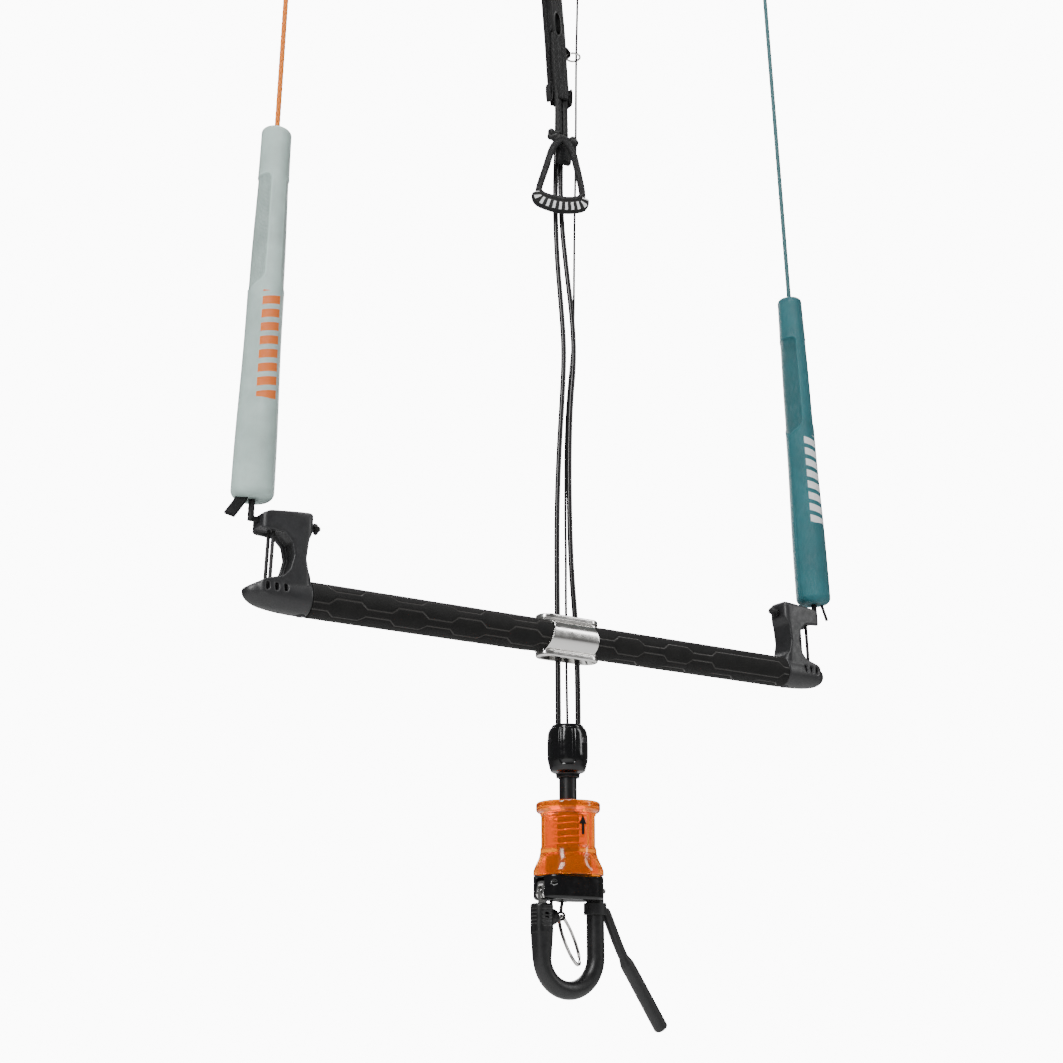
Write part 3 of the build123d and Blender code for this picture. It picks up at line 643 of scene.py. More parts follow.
def leaders(ropes, black):
    """The two leader lines, each with its knot and eye on top and its cuff at the bar."""
    top = LINE_LENGTH
    middle = [(0, 0, top * k / 6) for k in range(7)]
    neck = [(0, 0, top - 1), (0, 0, top + 4), (0, 0, top + 8.5)]
    eye = [(x, y, z + top + 19) for x, y, z in circle_points(11)]
    cuff_line = [(0, 0, -1.5), (0, 0, 8), (0, 0, 17)]
    for side_name, slot in (("left", "rope_orange"), ("right", "rope_teal")):
        place = leader_place(side_name)
        made = ropes[side_name]
        body = f"leader_{side_name}"
        mesh = braid(in_frame(place, middle), LEADER_RADIUS * MM, 4, 0.0052)
        line = link_piece(f"leader_rope_{side_name}", mesh, body, made,
                          [f"leader_line_{side_name}"])
        parts = [knot_mesh(place @ at(0, 0, top + 4.5), 2.9, 1.6)]
        parts += [braid(in_frame(place, part), 1.9 * MM, 4, 0.0042, 20) for part in (neck, eye)]
        loop = link_piece(f"leader_eye_{side_name}", join(parts), body, made,
                          [f"leader_loop_{side_name}"])
        cuff = braid(in_frame(place, cuff_line), 2.35 * MM, 4, 0.0042, 24)
        link_piece(f"leader_cuff_{side_name}", cuff, body, black)


def depower_line(side_name, route, made):
    """A coated line, round and smooth, as a curve with its route as control points."""
    data = spline(route, 14)
    data.bevel_depth = DEPOWER_RADIUS * MM
    data.bevel_resolution = 7
    data.use_fill_caps = True
    piece = link_piece(f"depower_cord_{side_name}", data, "centre_lines", made,
                       [f"depower_line_{side_name}"])


def safety_cord(made):
    line = smooth_line(SAFETY_LINE)
    mesh = braid(line, SAFETY_RADIUS * MM, 3, 0.0030, 14, 0.00055)
    piece = link_piece("safety_cord", mesh, "centre_lines", made, ["safety_line"])
    x, y, z = SAFETY_LINE[-1]
    neck = [Vector((x, y, z + up)) * MM for up in (-1, 2, 5)]
    eye = [Vector((x + a, y + b, z + 11.8 + c)) * MM for a, b, c in circle_points(7)]
    parts = [knot_mesh(at(x, y, z + 2.6), 1.8, 1.0)]
    parts += [braid(part, 1.0 * MM, 3, 0.0028, 12) for part in (neck, eye)]
    loop = link_piece("safety_eye", join(parts), "centre_lines", made,
                      ["safety_loop"])


def trim_ropes(made):
    for side_name, side in SIDES.items():
        route = [(x + side * TRIM_GAP, TRIM_Y, z) for x, z in TRIM_CENTRE]
        line = smooth_line(route)
        mesh = braid(line, TRIM_RADIUS * MM, 6, 0.0062, 44, 0.0005)
        piece = link_piece(f"trim_cord_{side_name}", mesh, "trim_handle", made,
                           [f"trim_rope_{side_name}"])


# ------------------------------------------------------------ the bar
GRIP_START, GRIP_END = 13.5, 218.0
GRIP_RADIUS = 12.75
GRIP_UNDER_INSERT = 12.45         # the grip is pressed in under the steel insert
FLARE_START, FLARE_SLOPE = 13.3, 0.47    # its inner end leaves room for a rocked bar's lines
PAD_PERIOD, PAD_FLAT, PAD_RAMP = 48.8, 19.2, 5.2
PAD_ROWS = 8
GROOVE_SWING, GROOVE_HALF, GROOVE_DEPTH = 2.2, 0.62, 0.55
PAD_PHASE = {"left": -118.2, "right": 50.7}
ROW_ANGLE = {"left": 75.0, "right": 97.0}     # of a row of pads, from the top to the front
LONG_PAD = (135.3, 208.9)


def pad_wave(x):
    """1 along a pad, -1 between two pads, with sloping ends; x is from a pad's middle."""
    place = np.abs((x + PAD_PERIOD / 2) % PAD_PERIOD - PAD_PERIOD / 2)
    return np.clip(1 - 2 * (place - PAD_FLAT / 2) / PAD_RAMP, -1, 1)


def groove_depth(x, turn, side_name):
    """How much of a groove is at x along the bar and turn, in degrees from the top."""
    row = 360.0 / PAD_ROWS
    total = np.zeros_like(x)
    wave = pad_wave(x - PAD_PHASE[side_name])
    for k in range(PAD_ROWS):
        w = wave.copy()
        if side_name == "right" and k in (0, PAD_ROWS - 1):
            w[(x > LONG_PAD[0] + 3) & (x < LONG_PAD[1] - 3)] = 1.0
        edge = ROW_ANGLE[side_name] + (k + 0.5) * row
        sign = 1 if k % 2 == 0 else -1
        around = turn_from(turn, edge)
        away = np.abs(radians(1) * around * GRIP_RADIUS - sign * GROOVE_SWING * w)
        sloped = (w < 0.98) & (w > -0.98)
        away = np.where(sloped, away * 0.8, away)
        total = np.maximum(total, np.exp(-(away / GROOVE_HALF) ** 2 * 1.3))
    return total


def grip(side_name, made):
    side = SIDES[side_name]
    around = 168
    ends = np.array([0.0, 0.15, 0.5, 1.0])
    x = np.concatenate([GRIP_START + ends, np.arange(GRIP_START + 1.45, GRIP_END - 1.2, 0.45),
                        GRIP_END - ends[::-1]])
    if side < 0:
        x = -x[::-1]
    turn = np.degrees(ring_angles(around))[None].repeat(len(x), 0)
    grid = x[:, None].repeat(around, 1)
    groove = groove_depth(grid, turn, side_name)
    from_end = np.minimum(np.abs(grid) - GRIP_START, GRIP_END - np.abs(grid))
    edge = np.clip(1 - from_end / 1.0, 0, 1) ** 2
    outer = GRIP_UNDER_INSERT + (GRIP_RADIUS - GRIP_UNDER_INSERT) * smoothstep(
        24.0, 30.0, np.abs(grid) + 8 * np.cos(np.radians(turn)) * (side < 0))
    radius = outer - GROOVE_DEPTH * groove * smoothstep(20, 26, np.abs(grid)) - 0.9 * edge
    radius = np.minimum(radius, (np.abs(grid) - FLARE_START) / FLARE_SLOPE)
    angle = np.radians(turn)
    rings = np.stack([grid, -radius * np.sin(angle), radius * np.cos(angle)], axis=-1) * MM
    name = f"foam_grip_{side_name}"
    piece = link_piece(name, skin(rings, x * MM, groove=groove), "bar", made,
                       [f"grip_{side_name}"])


def grip_material():
    """Matte closed-cell foam with glossy moulded lines, which are painted lighter as a painted
    highlight.
    """
    made = material("grip_foam", BLACK, 0.85, Specular_IOR_Level=0.25)
    calc = partial(maths, made)
    groove = attribute(made, "groove")
    cloud = noise(made, 90, 4)
    pores = noise(made, 3200, 2)
    tone = blend_colours(made, spread(made, cloud, 0.3, 0.7, 0.0, 1.0),
                         (0.004, 0.0038, 0.0038), (0.009, 0.0085, 0.0083))
    # painted highlight: the moulded lines are tinted lighter than the foam, standing in for their
    # shine
    tint(made, spread(made, groove, 0.25, 0.8, 0.0, 1.0), tone, (0.05, 0.047, 0.045))
    drive(made, "Roughness", spread(made, groove, 0.2, 0.7, 0.72, 0.25))
    bump(made, [calc("MULTIPLY", pores, spread(made, groove, 0.2, 0.6, 1.0, 0.1))], 0.00022)
    return made


def strand(start, end, radius, plaits=3):
    points = [Vector(start) * MM, (Vector(start) + Vector(end)) * MM / 2, Vector(end) * MM]
    return braid(points, radius * MM, plaits, 0.0032, 18, 0.0006)


def bar_ends(grey, elastic, rope):
    for side_name, side in SIDES.items():
        node = f"bar_end_{side_name}"
        link_piece(f"end_{side_name}", soften(node, 0.55, 22), "bar", grey,
                   [node])
        strands = [strand((side * 247.5, y, 5.5), (side * 246.5, y, 46.0), 1.4)
                   for y in (-4.0, 4.0)]
        link_piece(f"elastic_{side_name}", join(strands), "bar", elastic,
                   [f"bungee_{side_name}"])
        run = strand((side * 215.0, 0, ROPE_Z), (side * 261.5, 0, ROPE_Z), 2.0, 4)
        knot_place = at(side * 213.6, 0, ROPE_Z + 0.5)
        parts = [run, knot_mesh(knot_place @ Matrix.Rotation(1.1, 4, "Y"), 2.7, 1.75)]
        link_piece(f"stopper_knot_{side_name}", join(parts), "bar", rope,
                   [f"leader_anchor_{side_name}"])


# ------------------------------------------------------------ the floats
FLOAT_RADIUS_LOW, FLOAT_RADIUS_HIGH = 15.0, 11.1
FLOAT_BORE = 2.3
PANEL_TOP, PANEL_BOTTOM = 261.0, 176.0       # measured up the line
PANEL_HALF_TURN = 62.0
PANEL_CORNER = 5.0
PANEL_DEPTH, RIM_HEIGHT, SLIT_DEPTH = 0.55, 0.30, 0.7
PRINT_HALF_TURN = 31.0
PRINT_LOW, PRINT_HIGH, PRINT_PITCH = 84.0, 166.0, 10.4


def panel_distance(up, turn, radius):
    """Signed distance in millimetres to the nearer of the two sunken side panels."""
    nearest = np.full_like(up, 1e3)
    for centre in (0.0, 180.0):
        around = np.abs(turn_from(turn, centre))
        half_width = radians(PANEL_HALF_TURN) * radius
        low = PANEL_BOTTOM - 9.0 * (1 - around / PANEL_HALF_TURN)
        middle, half = (PANEL_TOP + low) / 2, (PANEL_TOP - low) / 2
        away = box_distance(radians(1) * around * radius - half_width,
                            np.abs(up - middle) - half, PANEL_CORNER)
        nearest = np.minimum(nearest, away)
    return nearest


def line_float(side_name, made):
    low_fillet, high_fillet = 6.0, 3.2
    bend = np.linspace(0, pi / 2, 8)
    low_end = FLOAT_LOW + low_fillet * (1 - np.cos(bend))
    high_end = FLOAT_HIGH - high_fillet * (1 - np.cos(bend[::-1]))
    body = np.arange(low_end[-1] + 0.9, high_end[0] - 0.5, 0.9)
    up = np.concatenate([[FLOAT_LOW + 3, FLOAT_LOW + 0.2], low_end, body, high_end,
                         [FLOAT_HIGH - 0.2, FLOAT_HIGH - 3]])
    share = (up - FLOAT_LOW) / (FLOAT_HIGH - FLOAT_LOW)
    radius = FLOAT_RADIUS_LOW + (FLOAT_RADIUS_HIGH - FLOAT_RADIUS_LOW) * share
    radius[2:10] += low_fillet * (np.sin(bend) - 1)
    radius[-10:-2] += high_fillet * (np.sin(bend[::-1]) - 1)
    radius[[0, 1, -2, -1]] = FLOAT_BORE + 0.1
    around = 150
    turn = np.degrees(ring_angles(around))[None].repeat(len(up), 0)
    height = up[:, None].repeat(around, 1)
    r = radius[:, None].repeat(around, 1)
    distance = panel_distance(height, turn, r)
    panel = smoothstep(0.5, -0.5, distance)
    rim = np.exp(-(distance / 0.75) ** 2)
    slit_turn = 180.0 if side_name == "right" else 0.0
    slit_away = radians(1) * turn_from(turn, slit_turn) * r
    slit = np.exp(-(slit_away / 0.5) ** 2) * smoothstep(110, 100, height)
    sag = 0.25 * np.sin(height / 23.0 + np.radians(turn) * 2)
    wall = r > FLOAT_BORE + 1
    r = r - PANEL_DEPTH * panel + RIM_HEIGHT * rim - SLIT_DEPTH * slit * wall + sag * (r > 6)
    angle = np.radians(turn)
    local = np.stack([r * np.cos(angle), r * np.sin(angle), height], axis=-1) * MM
    place = np.array(leader_place(side_name))
    rings = local @ place[:3, :3].T + place[:3, 3]
    name = f"foam_float_{side_name}"
    mesh = skin(rings, up * MM, caps=False, panel=panel, rim=rim)
    piece = link_piece(name, mesh, f"float_{side_name}", made, [f"float_{side_name}"])


def float_material(name, colour, print_colour, slant):
    """Moulded foam with a cloth-like grain, knurled panels and a row of plain slanted bars."""
    made = material(name, colour, 0.42, Sheen_Weight=0.05)
    calc = partial(maths, made)
    uv = uv_axes(made)
    turn = calc("MULTIPLY", uv[0], 360.0)
    up = calc("MULTIPLY", uv[1], 1000.0)
    off_front = calc("SUBTRACT", turn, 270.0)
    in_band = calc("LESS_THAN", calc("ABSOLUTE", off_front), PRINT_HALF_TURN)
    in_reach = calc("MULTIPLY", calc("GREATER_THAN", up, PRINT_LOW),
                    calc("LESS_THAN", up, PRINT_HIGH))
    run = calc("DIVIDE", calc("MULTIPLY_ADD", off_front, slant, up), PRINT_PITCH)
    bars = calc("LESS_THAN", calc("FRACT", run), 0.62)
    mask = calc("MULTIPLY", calc("MULTIPLY", in_band, in_reach), bars)
    cloud = noise(made, 45, 4)
    dark = tuple(c * 0.86 for c in colour)
    light = tuple(min(1, c * 1.10) for c in colour)
    base = blend_colours(made, spread(made, cloud, 0.3, 0.7, 0.0, 1.0), dark, light)
    # painted highlight: the colour turns paler along the panels' raised rims
    rim = attribute(made, "rim")
    rim_highlight_colour = tuple(min(1, c * 1.35 + 0.01) for c in colour)
    base = blend_colours(made, calc("MULTIPLY", rim, 0.45), base, rim_highlight_colour)
    tint(made, mask, base, print_colour)
    panel = attribute(made, "panel")
    ridges = [calc("SINE", calc("MULTIPLY_ADD", turn, 0.62, calc("MULTIPLY", up, slope)))
              for slope in (2.9, -2.9)]
    knurl = calc("MULTIPLY", calc("MULTIPLY", *ridges), panel)
    weave = calc("MULTIPLY", calc("SINE", calc("MULTIPLY", turn, 1.9)),
                 calc("SINE", calc("MULTIPLY", up, 7.0)))
    flat = calc("SUBTRACT", 1.0, panel)
    height = calc("MULTIPLY_ADD", calc("MULTIPLY", weave, flat), 0.16,
                  calc("MULTIPLY", knurl, 0.8))
    bump(made, [height, calc("MULTIPLY", noise(made, 2400, 2), 0.30)], 0.00055)
    return made


def float_feet(webbing, rope):
    """The webbing tab under the left float and the cord tail under the right one."""
    line = cubic([(-264.8, -1.4, 75.0), (-267.8, -1.4, 68.5), (-271.6, -1.5, 61.0),
                  (-278.4, -1.7, 50.3)], 8) * MM
    link_piece("foot_tab_left", band(line, (0.82, -0.57, 0), 9.0, 2.2), "float_left",
               webbing, ["float_tab_left"])
    line = cubic([(264.5, -2.0, 77.0), (266.2, -2.1, 70.0), (269.6, -2.6, 61.0),
                  (273.3, -3.0, 50.8)], 8) * MM
    link_piece("foot_tail_right", braid(line, 1.35 * MM, 3, 0.0030, 16), "float_right",
               rope, ["float_tail_right"])


# ------------------------------------------------------------ swept pieces
def section(line, wide_axis, half_wide, half_thick, power=2.0, around=40, step=0.5,
            end_round=1.0):
    """A rounded bar along a line in millimetres, its section a superellipse.

    half_wide, half_thick and power are numbers, or (share of the length, value) pairs.
    end_round is how far from each end the section closes in, or 0 for a plain end.
    """
    points, stations = resample(np.array(line, float), step)
    share = stations / stations[-1]
    wide, thin = frames(points, wide_axis)
    numbers = []
    for value in (half_wide, half_thick, power):
        pairs = np.array(value if isinstance(value, (list, tuple)) else [(0, value), (1, value)])
        numbers.append(np.interp(share, pairs[:, 0], pairs[:, 1])[:, None])
    half_x, half_y, sharp = numbers
    if end_round > 0:
        from_end = np.minimum(stations, stations[-1] - stations)
        close = np.sqrt(1 - (1 - np.clip(from_end / end_round, 0, 1)) ** 2)[:, None]
        shrink = end_round * (1 - close)
        half_x, half_y = half_x - shrink, half_y - shrink
        half_x, half_y = np.maximum(half_x, 0.15), np.maximum(half_y, 0.15)
    angle = ring_angles(around)[None]
    c, s = np.cos(angle), np.sin(angle)
    x = half_x * np.sign(c) * np.abs(c) ** (2 / sharp)
    y = half_y * np.sign(s) * np.abs(s) ** (2 / sharp)
    rings = place_rings(points * MM, wide, thin, x * MM, y * MM)
    return skin(rings, stations * MM)


def loop_of_webbing(centre, half_x, half_z, width, thickness, lean=0.0):
    """A flat band sewn into a tall closed loop in the XZ plane, its width along Y."""
    points = []
    for t in np.linspace(0, 2 * pi, 60):
        x = half_x * np.sign(cos(t)) * abs(cos(t)) ** 0.8
        z = half_z * sin(t)
        points.append((centre[0] + x + lean * z, centre[1], centre[2] + z))
    return band(np.array(points) * MM, (0, 1, 0), width, thickness)


# ------------------------------------------------------------ the trim
STRAP_WIDTH, STRAP_THICKNESS = 13.0, 1.2
STRAP_FRONT_Y, STRAP_BACK_Y = -5.4, 7.2        # the middles of its two layers
STRAP_FOOT_Z, STRAP_FOLD_Z = 470.0, 598.0
STRAP_X = [(470.0, -3.0), (510.0, -6.0), (545.0, -8.5), (580.0, -11.0), (598.0, -12.0)]
STRAP_EYE = (-9.0, 542.0)
FRONT_LOOP = (-12.0, 0.9, 612.5)
KNOT_LEFT, KNOT_RIGHT, KNOT_Z = -11.5, 8.5, 434.2
HANDLE_CENTRE, HANDLE_TURN = (-7.6, -6.2), -20.0
STRAP_ACROSS = (1, 0, 0.06)
STRAP_INNER = [(-3.1, 573), (-3.1, 560), (-3.1, 541), (-1.8, 537.6), (1.0, 536.8), (2.3, 534),
               (2.4, 522)]                      # y and z of its lining, seen through the slot
LEG_ROUTES = [[(1.0, 0, 430), (-6.5, 0, 420), (-12.6, 0, 400), (-18.4, 0, 380), (-18.2, 0, 371)],
              [(4.0, 0, 429), (10.5, 0, 419), (14.8, 0, 402), (18.6, 0, 382), (18.2, 0, 371)]]


def strap_line():
    """Up the front, over the fold and down the back, in millimetres."""
    heights = np.linspace(STRAP_FOOT_Z, STRAP_FOLD_Z, 70)
    zs, xs = zip(*STRAP_X)
    across = np.interp(heights, zs, xs)
    middle, radius = (STRAP_FRONT_Y + STRAP_BACK_Y) / 2, (STRAP_BACK_Y - STRAP_FRONT_Y) / 2
    wave = 0.35 * np.sin((heights - STRAP_FOOT_Z) / 13.0)
    front = [(x, STRAP_FRONT_Y + w, z) for x, z, w in zip(across, heights, wave)]
    fold = [(xs[-1], middle - radius * cos(t), STRAP_FOLD_Z + radius * sin(t))
            for t in np.linspace(0, pi, 22)[1:-1]]
    back = [(x, STRAP_BACK_Y + 0.5 * w, z) for x, z, w in zip(across, heights, wave)][::-1]
    return np.array(front + fold + back)


def strap(webbing, rope, thread):
    """The webbing strap with its stitched slot, and what is sewn or looped on it."""
    line = strap_line()
    width = np.interp(line[:, 2], [470, 480, 600], [9.5, STRAP_WIDTH, STRAP_WIDTH])
    whole = band(line * MM, STRAP_ACROSS, width, STRAP_THICKNESS, 0.6, 0.75)
    eye_x, eye_z = STRAP_EYE
    through = [(eye_x, STRAP_FRONT_Y + y, eye_z) for y in (-3, 3)]
    slotted = cut(whole, section(through, (1, 0, 0), 3.4, 11.4, 2.6, 48, end_round=0))
    rim = [(eye_x + 3.7 * np.sign(cos(t)) * abs(cos(t)) ** 0.75 - 0.06 * 11.6 * sin(t),
            STRAP_FRONT_Y - 0.5, eye_z + 11.6 * sin(t)) for t in np.linspace(0, 2 * pi, 70)]
    zs, xs = zip(*STRAP_X)
    inner = [(np.interp(z, zs, xs), y, z) for y, z in STRAP_INNER]
    ears = [loop_of_webbing((-13.5, 0.9, 477), 1.2, 8.0, 7.0, 1.1, -0.05),
            loop_of_webbing((6.9, 0.9, 477), 1.2, 8.0, 7.0, 1.1, 0.04)]
    tab = cubic([(0.2, 0, 514.6), (3.2, 0, 515.2), (5.8, 0, 517.6), (6.3, 0, 520),
                 (5.8, 0, 522.4), (3.2, 0, 524.8), (0.2, 0, 525.4)]) * MM
    ring = np.array(FRONT_LOOP) + np.array(circle_points(14.0, 90))
    pieces = {
        "webbing_strap": (slotted, webbing, ["trim_strap"]),
        "strap_eye_rim": (braid(np.array(rim) * MM, 0.75 * MM, 3, 0.0018, 14, 0.0005), thread, ()),
        "strap_lining": (band(cubic(inner) * MM, STRAP_ACROSS, 11.4, 1.0), webbing, ()),
        "front_rope_eye": (braid(ring * MM, 2.4 * MM, 5, 0.0048), rope, ["front_line_loop"]),
        "elastic_keepers": (join(ears), webbing, ["strap_keepers"]),
        "ring_webbing": (band(tab, (0, 1, 0), 5.0, 1.3), webbing, ["ring_tab"]),
    }
    for name, (mesh, made, nodes) in pieces.items():
        link_piece(name, mesh, "centre_lines", made, nodes)


def trim_handle(webbing, rope, striped):
    """The knots, the tongue over them, and the handle with its striped sleeve."""
    parts = []
    for x, size, tilt in ((KNOT_LEFT, 3.9, 0.5), (KNOT_RIGHT, 3.1, -0.7)):
        place = at(x, TRIM_Y, KNOT_Z) @ Matrix.Rotation(tilt, 4, "Y")
        parts.append(knot_mesh(place @ Matrix.Rotation(1.2, 4, "X"), size, 2.5))
    bridge = cubic([(KNOT_LEFT, TRIM_Y, KNOT_Z + 0.6), (-6, TRIM_Y - 0.5, KNOT_Z - 0.4),
                    (-1.5, TRIM_Y, KNOT_Z + 0.8), (3, TRIM_Y - 0.5, KNOT_Z - 0.3),
                    (KNOT_RIGHT, TRIM_Y, KNOT_Z)]) * MM
    parts.append(braid(bridge, 2.9 * MM, 5, 0.0056, 36))
    link_piece("rope_knots", join(parts), "trim_handle", rope, ["trim_knots"])

    tongue = section([(-1.3, -1.7, 431.2), (-1.3, -1.9, 422), (-1.1, -1.9, 409.8)], (1, 0, 0),
                     [(0, 6.4), (0.3, 7.1), (1, 6.7)], 2.7, 5.0, 48, end_round=2.0)
    link_piece("webbing_tongue", tongue, "trim_handle", webbing,
               ["handle_tongue"])

    flat = (0, 1, 0)
    parts = [section(cubic(route), flat, 1.75, [(0, 3.0), (0.5, 2.9), (1, 2.7)], 3.5, 36)
             for route in LEG_ROUTES]
    apex = cubic([(-5.0, 0, 426.5), (1.0, 0, 430.2), (8.8, 0, 428.0)])
    roll = cubic([(-19.4, 0, 377.5), (-14, 0, 373.6), (0, 0, 371.4), (14, 0, 373.2),
                  (19.2, 0, 377.0)])
    parts += [section(apex, flat, 1.8, 2.9, 3.5, 36), section(roll, flat, 2.7, 3.6, 2.3, 36)]
    around_roll = cubic([(-21.4, 0, 376.0), (-18.8, 0, 369.6), (-10, 0, 366.2), (0, 0, 365.0),
                         (10, 0, 366.0), (18.8, 0, 369.0), (21.0, 0, 375.0)])
    sleeve = section(around_roll, flat, 3.1, [(0, 3.4), (0.15, 5.0), (0.85, 5.0), (1, 3.4)],
                     4.5, 72, 0.4)
    turn = at(*HANDLE_CENTRE, 0) @ Matrix.Rotation(radians(HANDLE_TURN), 4, "Z")
    for name, mesh, made, nodes in (("handle_webbing", join(parts), webbing, ["pull_handle"]),
                                    ("handle_sleeve", sleeve, striped, ())):
        mesh.transform(turn)
        link_piece(name, mesh, "trim_handle", made, nodes)


def striped_material():
    """Black webbing with a row of plain white slanted bars along each face."""
    made = webbing_material("striped_webbing", BLACK)
    calc = partial(maths, made)
    uv = uv_axes(made)
    face = calc("FRACT", calc("MULTIPLY_ADD", uv[0], 2.0, 0.5))
    off_middle = calc("ABSOLUTE", calc("SUBTRACT", face, 0.5))
    along = calc("MULTIPLY_ADD", face, 0.5, calc("DIVIDE", uv[1], 0.0052))
    stripe = calc("LESS_THAN", calc("FRACT", along), 0.42)
    mask = calc("MULTIPLY", stripe, calc("LESS_THAN", off_middle, 0.15))
    black = principled(made).inputs["Base Color"].links[0].from_socket
    tint(made, mask, black, WHITE)
    return made


# ------------------------------------------------------------ the swivel
SWIVEL_FLATS, SWIVEL_SCREWS = (115, 235, 355), (55, 175, 295)
SCREW_Z, SCREW_HOLE = -79.0, 1.85
BARREL_RADIUS, BARREL_INNER = 15.0, 12.75     # its outside, and a radius inside its wall
BARREL_LOW, BARREL_HIGH = -101.5, -69.2       # the reach of its patterned outside
U_HALF_WIDTH, U_LOW = 6.2, -96.5              # of a sunken panel, open at its top


def swivel_shape(angle, height, radius):
    """Sunken U-shaped panels with a fine rim, and the screw holes, round the barrel."""
    turn = np.degrees(angle)
    out = radius.copy()
    skin_only = (radius > BARREL_INNER) & (height > BARREL_LOW) & (height < BARREL_HIGH)
    for centre in SWIVEL_FLATS:
        around = np.abs(turn_from(turn, centre)) * radians(1) * BARREL_RADIUS
        distance = box_distance(around - U_HALF_WIDTH, U_LOW - height, 3.0)
        sunk = smoothstep(0.45, -0.45, distance) * 0.65
        inner = smoothstep(-2.2, -2.9, distance) * 0.35
        out -= np.where(skin_only, sunk - inner, 0) * smoothstep(-69.0, -71.0, height)
    for centre in SWIVEL_SCREWS:
        around = turn_from(turn, centre) * radians(1) * BARREL_RADIUS
        away = np.hypot(around, height - SCREW_Z)
        out -= np.where(skin_only, 0.7 * smoothstep(SCREW_HOLE + 0.25, SCREW_HOLE - 0.25, away), 0)
        rim = np.exp(-((away - SCREW_HOLE - 1.0) / 0.5) ** 2)
        out += np.where(skin_only, 0.2 * rim, 0)
    return out


def swivel(gloss):
    """The barrel with its panels, and the lid on it."""
    profile = [(7.0, -105.5, 0), (8.6, -105.5, 0.5), (9.0, -102.4, 0.6), (12.6, -101, 0.8),
               (13.6, -98.5, 1.0), (15.2, -92, 3.0), (15.3, -79, 3.0), (14.7, -72, 1.5),
               (13.4, -69, 1.0), (12.6, -69, 0), (12.6, -85.5, 0), (9.7, -85.5, 0),
               (9.7, -97, 0), (7.0, -97, 0), (7.0, -105.5, 0)]
    barrel = lathe(profile, 280, shape=swivel_shape, split=0.34, caps=False)
    link_piece("swivel_barrel", barrel, "centre_lines", gloss, ["swivel_housing"])
    link_piece("swivel_lid", soften("swivel_cap", 0.3, 5), "centre_lines", gloss,
               ["swivel_cap"])


# ------------------------------------------------------------ the release
SLEEVE_PANELS = ((192, 22), (268, 12.5), (328, 19), (28, 20), (86, 20), (140, 18))
WAIST_RADIUS, WAIST_Z, WAIST_HALF = 20.5, -145.0, 11.6       # the panels' place on the waist
SLEEVE_OUTSIDE, SLEEVE_LIP_Z = 19.9, -131.0                  # a radius in its wall, its top lip
DOT_TURNS, DOT_RADIUS, DOT_Z, DOT_PITCH = (288, 108), 22.0, -163.5, 1.05
ARROW_TURN, ARROW_LOW, ARROW_NECK, ARROW_HIGH = 268.0, -148.5, -141.0, -134.2


def arrow_mask(turn, height):
    """1 inside a plain upward arrow on the sleeve."""
    x = np.abs(turn_from(turn, ARROW_TURN)) * radians(1) * WAIST_RADIUS
    head = (ARROW_HIGH - height) * 0.52 - x
    head = np.minimum(head, height - ARROW_NECK)
    stem = np.minimum(1.35 - x, np.minimum(height - ARROW_LOW, ARROW_NECK + 0.5 - height))
    return smoothstep(-0.15, 0.15, np.maximum(head, stem))


def sleeve_shape(angle, height, radius):
    """Tall sunken panels round the sleeve's waist, with rows of small raised dots below."""
    turn = np.degrees(angle)
    outside = (radius > SLEEVE_OUTSIDE) & (height < SLEEVE_LIP_Z)
    out = radius.copy()
    for centre, half_turn in SLEEVE_PANELS:
        around = np.abs(turn_from(turn, centre)) * radians(1) * WAIST_RADIUS
        distance = box_distance(around - half_turn * radians(1) * WAIST_RADIUS,
                                np.abs(height - WAIST_Z) - WAIST_HALF, 1.5)
        out -= np.where(outside, 0.75 * smoothstep(0.35, -0.35, distance), 0)
    for centre in DOT_TURNS:
        column = turn_from(turn, centre) * radians(1) * DOT_RADIUS
        row = height - DOT_Z
        dots = np.maximum(0, np.cos(column * pi / DOT_PITCH) * np.cos(row * pi / DOT_PITCH)) ** 2
        patch = smoothstep(9.5, 8.9, np.abs(column)) * smoothstep(3.2, 2.6, np.abs(row))
        out += np.where(outside, 0.28 * dots * patch, 0)
    return out


def orange_material():
    """Clear orange plastic with a black printed arrow."""
    made = material("clear_orange", (1.0, 0.27, 0.0), 0.10, IOR=1.46)
    printed = attribute(made, "print")
    tint(made, printed, (1.0, 0.25, 0.0), (0.01, 0.01, 0.01))
    drive(made, "Transmission Weight", spread(made, printed, 0.2, 0.8, 0.82, 0.0))
    drive(made, "Roughness", spread(made, noise(made, 150, 3), 0.3, 0.7, 0.07, 0.16))
    bump(made, [noise(made, 420, 2)], 0.00002)
    return made


